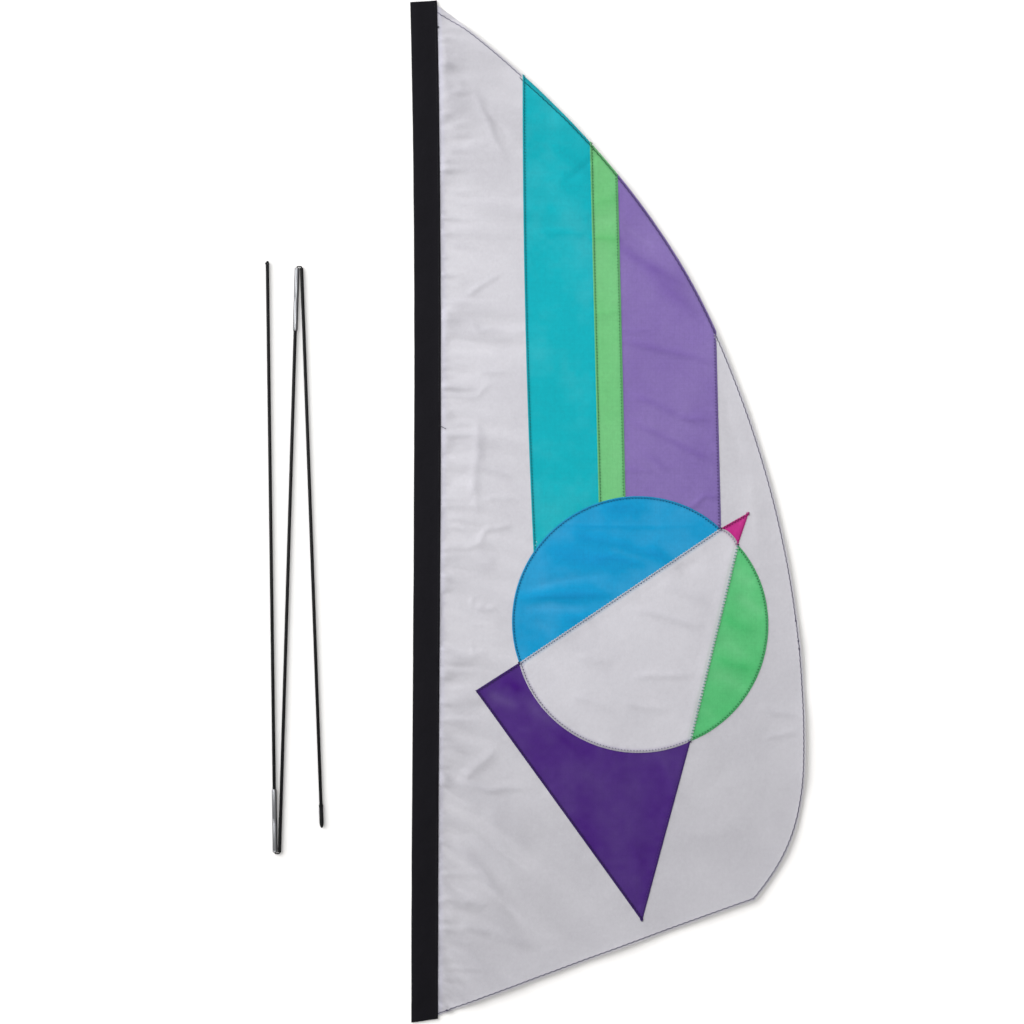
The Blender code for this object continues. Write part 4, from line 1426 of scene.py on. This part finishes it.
class FLAG_OT_stage(bpy.types.Operator):
    """Lays the floor, sets the lights and the camera"""

    bl_idname = "flag.stage"
    bl_label = "Stage"

    def execute(self, context):
        scene = context.scene
        stage = scene.flag_stage
        scene.view_settings.view_transform = "Standard"
        scene.view_settings.look = "None"
        camera = bpy.data.cameras.new("camera")
        camera.lens = stage.lens
        camera.sensor_width = 36.0
        camera.clip_start, camera.clip_end = 0.05, 100.0
        eye = bpy.data.objects.new("camera", camera)
        eye.location = (stage.camera_x, stage.camera_y, stage.camera_z)
        scene.collection.objects.link(eye)
        scene.camera = eye

        floor_finish, tree, shader = plain_finish("floor_finish", 0.85, Specular_IOR_Level=0.1)
        coloured(tree, shader, dye(tree, stage.floor), even_floor(tree))
        rows = 8
        line = np.linspace(-FLOOR_HALF, FLOOR_HALF, rows + 1)
        grid = [(x, y, 0.0) for y in line for x in line]
        wide = rows + 1
        faces = [
            (r * wide + c, r * wide + c + 1, (r + 1) * wide + c + 1, (r + 1) * wide + c)
            for r in range(rows)
            for c in range(rows)
        ]
        floor = new_mesh("floor", grid, faces, floor_finish, smooth=False)

        world = bpy.data.worlds.new("even_light")
        scene.world = world
        world.use_nodes = True
        tree = world.node_tree
        places = add(tree, "ShaderNodeTexCoord").outputs["Generated"]
        height = add(tree, "ShaderNodeSeparateXYZ", {0: places}).outputs["Z"]
        wanted = {"Value": height, "From Min": 0.0, "From Max": 0.9}
        wanted.update({"To Min": HORIZON_SHARE, "To Max": ZENITH_SHARE})
        rise = add(tree, "ShaderNodeMapRange", wanted).outputs[0]
        strength = calc(tree, "MULTIPLY", rise, stage.sky)
        sky = tree.nodes["Background"]
        sky.inputs["Color"].default_value = (1.0, 0.985, 0.97, 1.0)
        tree.links.new(strength, sky.inputs["Strength"])

        lamp = bpy.data.lights.new("soft_key", "AREA")
        lamp.shape = "DISK"
        lamp.size = KEY_SIZE
        lamp.energy = stage.key
        key = bpy.data.objects.new("soft_key", lamp)
        key.location = KEY_PLACE
        aim(key, (0.0, 0.0, 0.0))
        lamp = bpy.data.lights.new("overhead_pool", "SPOT")
        lamp.spot_size = POOL_SPREAD
        lamp.spot_blend = 1.0
        lamp.shadow_soft_size = 0.4
        lamp.energy = stage.pool
        pool = bpy.data.objects.new("overhead_pool", lamp)
        pool.location = POOL_PLACE
        aim(pool, POOL_FOOT)
        return {"FINISHED"}


class FLAG_OT_sleeve(bpy.types.Operator):
    """Sews the black sleeve that takes the pole"""

    bl_idname = "flag.sleeve"
    bl_label = "Sleeve"

    def execute(self, context):
        sleeve_tube()
        side = sleeve_side(88.5)
        tail = [
            (side - 1.5, 89.6, 3.0),
            (side + 0.5, 89.0, 3.2),
            (side + 2.6, 88.0, 2.8),
            (side + 5.6, 86.4, 2.6),
        ]
        tail = read_along(np.array(tail), range(4), np.linspace(0, 3, 16))
        side = sleeve_side(507.0)
        nub = little_knot((side + 0.6, 507.0, 2.9), 1.2, 0.25)
        loose_thread("sleeve_loose_ends", [tail, nub], 0.27, SLEEVE_TAIL)
        return {"FINISHED"}


def white_of(cloth):
    return finish_named("white_ripstop", lambda: ripstop_cloth("white_ripstop", cloth.white, 0.008))


def dyed_panel(name, dye_name, step=2.6):
    """A panel of cloth in one of the dyes."""
    colour = getattr(bpy.context.scene.flag_cloth, dye_name)
    finish = ripstop_cloth(dye_name + "_ripstop", colour)
    sewn_panel(name, dye_name + "_cloth", colour, finish, step)


class FLAG_OT_ground(bpy.types.Operator):
    """Cuts and lays the white ground that the design is sewn into"""

    bl_idname = "flag.ground"
    bl_label = "White ground"

    def execute(self, context):
        cloth = context.scene.flag_cloth
        sewn_panel("white_ground", "white_cloth", cloth.white, white_of(cloth))
        return {"FINISHED"}


class FLAG_OT_stripes(bpy.types.Operator):
    """Cuts and sews the three stripes"""

    bl_idname = "flag.stripes"
    bl_label = "Stripes"

    def execute(self, context):
        dyed_panel("teal_stripe", "teal")
        dyed_panel("lavender_stripe", "lavender")
        dyed_panel("green_stripe", "pale_green")
        return {"FINISHED"}


class FLAG_OT_disc(bpy.types.Operator):
    """Cuts and sews the blue and green parts of the disc and its white centre"""

    bl_idname = "flag.disc"
    bl_label = "Disc"

    def execute(self, context):
        cloth = context.scene.flag_cloth
        dyed_panel("blue_segment", "blue")
        dyed_panel("green_segment", "green")
        # The laps of the panels below tint the white cloth over them
        show = [
            ((DISC_TOP, DISC_LEFT), (0.86, 0.95, 1.0)),
            ((DISC_LOW, DISC_SIDE), (0.94, 1.0, 0.95)),
            (disc_arc(DISC_LEFT, DISC_LOW), (0.93, 0.91, 0.97)),
            (disc_arc(DISC_SIDE, DISC_TOP), (1.0, 0.92, 0.96)),
        ]
        sewn_panel("white_centre", "white_cloth", cloth.white, white_of(cloth), show_through=show)
        return {"FINISHED"}


class FLAG_OT_wedge(bpy.types.Operator):
    """Cuts and sews the magenta tip and the purple point of the wedge"""

    bl_idname = "flag.wedge"
    bl_label = "Wedge"

    def execute(self, context):
        dyed_panel("magenta_tip", "magenta", step=1.8)
        dyed_panel("purple_point", "purple")
        return {"FINISHED"}


# Thread colours. The dark and grey ones show as dots, the same and pale ones melt into the cloth
DARK_TEAL = (0.001, 0.050, 0.066)
DARK_GREEN = (0.006, 0.055, 0.020)
DARK_LAVENDER = (0.020, 0.012, 0.060)
DARK_BLUE = (0.002, 0.018, 0.070)
DARK_MAGENTA = (0.120, 0.006, 0.050)
DARK_PURPLE = (0.022, 0.010, 0.062)
SMOKE = (0.110, 0.102, 0.160)
# The pale thread's inner half over the white cloth is teal-grey, a painted shadow of the thread
TEAL_GREY = (0.060, 0.190, 0.180)
BLUE_GREY = (0.022, 0.070, 0.170)
HEM_GREY = (0.045, 0.040, 0.080)
SAME_MAGENTA = (0.290, 0.014, 0.135)
SAME_PURPLE = (0.042, 0.016, 0.118)
TACK = (0.010, 0.012, 0.035)
PALE = (0.420, 0.430, 0.460)
SLEEVE_THREAD, SLEEVE_TAIL = (0.008, 0.008, 0.010), (0.012, 0.011, 0.016)
HEM_KNOT = (0.035, 0.030, 0.060)
ALL_ALONG = 1e4  # a reach longer than any seam, in mm


class FLAG_OT_seams(bpy.types.Operator):
    """Stitches the seams with rows of zigzag"""

    bl_idname = "flag.seams"
    bl_label = "Seam stitches"

    def execute(self, context):
        cloth = context.scene.flag_cloth
        stripes = {
            "white_teal_stitches": (WHITE_TEAL, 1, 1, DARK_TEAL, cloth.teal),
            "teal_green_stitches": (TEAL_GREEN, 1, 2, DARK_GREEN, cloth.pale_green),
            "green_lavender_stitches": (GREEN_LAVENDER, -1, 2, DARK_GREEN, cloth.pale_green),
            "lavender_white_stitches": (OUTER_SEAM, -1, 1, DARK_LAVENDER, cloth.lavender),
        }
        for name, row in stripes.items():
            stitched(name, [row])
        disc = [
            (disc_arc(DISC_TOP, DISC_LEFT), 1, 3, DARK_BLUE, cloth.blue),
            (disc_arc(DISC_LEFT, DISC_LOW), 1, 4, SMOKE, cloth.white),
            (disc_arc(DISC_LOW, DISC_SIDE), 1, 3, DARK_GREEN, cloth.green),
            (disc_arc(DISC_SIDE, DISC_TOP), 1, 4, SMOKE, cloth.white),
        ]
        stitched("disc_stitches", disc)
        wedge = [
            ((WEDGE_LEFT, WEDGE_POINT), 1, 3, DARK_PURPLE, DARK_PURPLE),
            ((WEDGE_POINT, DISC_LOW), 1, 3, SAME_PURPLE, SAME_PURPLE),
            ((DISC_LOW, DISC_SIDE), 1, 4, TEAL_GREY, PALE, -1.4, ALL_ALONG),
            ((DISC_SIDE, WEDGE_TIP), 1, 3, SAME_MAGENTA, SAME_MAGENTA),
            ((WEDGE_TIP, DISC_TOP), 1, 3, DARK_MAGENTA, DARK_MAGENTA),
            ((DISC_TOP, DISC_LEFT), 1, 4, BLUE_GREY, cloth.white, -0.5, ALL_ALONG),
            ((DISC_LEFT, WEDGE_LEFT), 1, 3, DARK_PURPLE, DARK_PURPLE),
        ]
        stitched("wedge_stitches", wedge)
        crossings = [DISC_LEFT, DISC_TOP, DISC_SIDE, DISC_LOW]
        heights = how_it_lies(crossings) + 5 * LAYER
        tacks = [little_knot((x, y, z + 0.35), 1.5, 0.3) for (x, y), z in zip(crossings, heights)]
        loose_thread("crossing_tacks", tacks, 0.3, TACK)
        return {"FINISHED"}


class FLAG_OT_hems(bpy.types.Operator):
    """Stitches the hems of the free edges and the sleeve to the flag"""

    bl_idname = "flag.hems"
    bl_label = "Hem stitches"

    def execute(self, context):
        thread = context.scene.flag_thread
        sizes = {"pitch": thread.hem_stitch / MM, "inset": thread.hem_inset / MM}
        sizes.update({"width": 0.7, "dip": 0.45})
        edge = [
            (edge_part(EDGE, EDGE[0], WHITE_HEAD), -1, 0.5, SMOKE, SMOKE, 4.2, 26.0),
            (edge_part(EDGE, WHITE_HEAD, TEAL_HEAD), -1, 1, DARK_TEAL, DARK_TEAL, 2.2, 60.0),
            (edge_part(EDGE, TEAL_HEAD, GREEN_HEAD), -1, 2, DARK_GREEN, DARK_GREEN),
            (edge_part(EDGE, GREEN_HEAD, OUTER_HEAD), -1, 1, DARK_LAVENDER, DARK_LAVENDER),
            (edge_part(EDGE, OUTER_HEAD, EDGE[-1]), -1, 0.5, HEM_GREY, HEM_GREY),
        ]
        stitched("edge_hem_stitches", edge, **sizes)
        stitched("foot_hem_stitches", [(FOOT, -1, 0.5, HEM_GREY, HEM_GREY)], **sizes)
        y = np.linspace(SLEEVE_FOOT + 3.0, SLEEVE_HEAD - 2.0, 400)
        row = np.stack([sleeve_side(y), y], axis=1)
        row = (row, 1, 8, SLEEVE_THREAD, SLEEVE_THREAD)
        stitched("sleeve_stitches", [row], inset=2.0, width=1.6)
        spots = [(271.5, -114.4), (274.1, -135.3), (275.1, -143.7), (-93.1, -521.3)]
        heights = how_it_lies(spots)
        knots = [little_knot((x, y, z + 0.5), 1.1, 0.25) for (x, y), z in zip(spots, heights)]
        loose_thread("hem_knots", knots, 0.25, HEM_KNOT)
        return {"FINISHED"}


class FLAG_OT_rods(bpy.types.Operator):
    """Makes the three fibreglass rods"""

    bl_idname = "flag.rods"
    bl_label = "Rods"

    def execute(self, context):
        rod = fibreglass()
        seat = END_CLEAR + FERRULE_SOCKET + LOOSE
        for name, start, end, matrix in (
            ("upper", END_CLEAR, UPPER_ROD_END, UPPER),
            ("middle", seat, MIDDLE_LENGTH - END_CLEAR, MIDDLE),
            ("lower", seat, LOWER_LENGTH, LOWER),
        ):
            wall = tube_wall(start, end, ROD_RADIUS, ROD_BORE)
            body = name + "_section"
            turned_piece(name + "_pole_rod", name + "_rod", wall, matrix, rod, body)
        return {"FINISHED"}


class FLAG_OT_fittings(bpy.types.Operator):
    """Makes the two metal ferrules and the rubber cap"""

    bl_idname = "flag.fittings"
    bl_label = "Ferrules and cap"

    def execute(self, context):
        metal = drawn_metal()
        wall = ferrule_wall(END_CLEAR)
        for name, matrix in (("middle", MIDDLE), ("lower", LOWER)):
            piece_name, node, body = name + "_pole_ferrule", name + "_ferrule", name + "_section"
            turned_piece(piece_name, node, wall, matrix, metal, body)
        cap, rubber = cap_wall(UPPER_LENGTH), cap_rubber()
        turned_piece("pole_tip_cap", "upper_rod_cap", cap, UPPER, rubber, "upper_section")
        return {"FINISHED"}


class FLAG_OT_cords(bpy.types.Operator):
    """Strings the rods on their elastic cord"""

    bl_idname = "flag.cords"
    bl_label = "Elastic cord"

    def execute(self, context):
        start = CORD_INTO_BORE + LOOSE
        for name, end, matrix, joint in (
            ("upper", UPPER_ROD_END, UPPER, None),
            ("middle", MIDDLE_LENGTH - start, MIDDLE, "upper_ferrule_seat"),
            ("lower", LOWER_LENGTH, LOWER, "lower_ferrule_seat"),
        ):
            inner_cord(name + "_elastic", name + "_cord", start, end, matrix, name + "_section", joint)
        knot = little_knot((0, UPPER_ROD_END + LOOSE + KNOT_RADIUS, 0), 1.35, 0.42)
        cord_piece("upper_elastic_knot", "upper_cord_knot", knot, UPPER, "upper_section", 0.40)
        knot = little_knot((0, LOWER_LENGTH + LOOSE + FREE_KNOT_RADIUS * 0.55, 0), 2.4, 0.6, 0.75)
        cord_piece("lower_elastic_knot", "lower_cord_knot", knot, LOWER, "lower_section", 0.66)
        for name, pivot, leans, way, first_body in (
            ("upper", UPPER_PIVOT, (UPPER_LEAN, MIDDLE_LEAN), 1, "upper_section"),
            ("lower", LOWER_PIVOT, (MIDDLE_LEAN, LOWER_LEAN), -1, "middle_section"),
        ):
            bodies = (first_body, name + "_cord_fold")
            bend_piece(name + "_elastic_bend", name + "_cord_bend", pivot, *leans, way, bodies)
        return {"FINISHED"}


STEPS = (
    FLAG_OT_stage,
    FLAG_OT_sleeve,
    FLAG_OT_ground,
    FLAG_OT_stripes,
    FLAG_OT_disc,
    FLAG_OT_wedge,
    FLAG_OT_seams,
    FLAG_OT_hems,
    FLAG_OT_rods,
    FLAG_OT_fittings,
    FLAG_OT_cords,
)


class FLAG_PT_build(bpy.types.Panel):
    """The flag's settings and the steps that build it"""

    bl_idname = "FLAG_PT_build"
    bl_label = "Feather Flag"
    bl_space_type = "VIEW_3D"
    bl_region_type = "UI"
    bl_category = "Feather Flag"

    def draw(self, context):
        for group in SETTINGS:
            settings = getattr(context.scene, group)
            box = self.layout.box()
            for key in settings.bl_rna.properties.keys():
                if key not in ("rna_type", "name"):
                    box.prop(settings, key)
        for step in STEPS:
            self.layout.operator(step.bl_idname)


SETTINGS = {
    "flag_cloth": FlagClothSettings,
    "flag_thread": FlagThreadSettings,
    "flag_pole": FlagPoleSettings,
    "flag_stage": FlagStageSettings,
}


def register():
    for group in SETTINGS.values():
        bpy.utils.register_class(group)
    for name, group in SETTINGS.items():
        setattr(bpy.types.Scene, name, PointerProperty(type=group))
    for step in STEPS:
        bpy.utils.register_class(step)
    bpy.utils.register_class(FLAG_PT_build)


def unregister():
    bpy.utils.unregister_class(FLAG_PT_build)
    for step in reversed(STEPS):
        bpy.utils.unregister_class(step)
    for name, group in SETTINGS.items():
        delattr(bpy.types.Scene, name)
        bpy.utils.unregister_class(group)


def main():
    register()
    bpy.ops.flag.stage()
    bpy.ops.flag.sleeve()
    bpy.ops.flag.ground()
    bpy.ops.flag.stripes()
    bpy.ops.flag.disc()
    bpy.ops.flag.wedge()
    bpy.ops.flag.seams()
    bpy.ops.flag.hems()
    bpy.ops.flag.rods()
    bpy.ops.flag.fittings()
    bpy.ops.flag.cords()


if __name__ == "__main__":
    main()
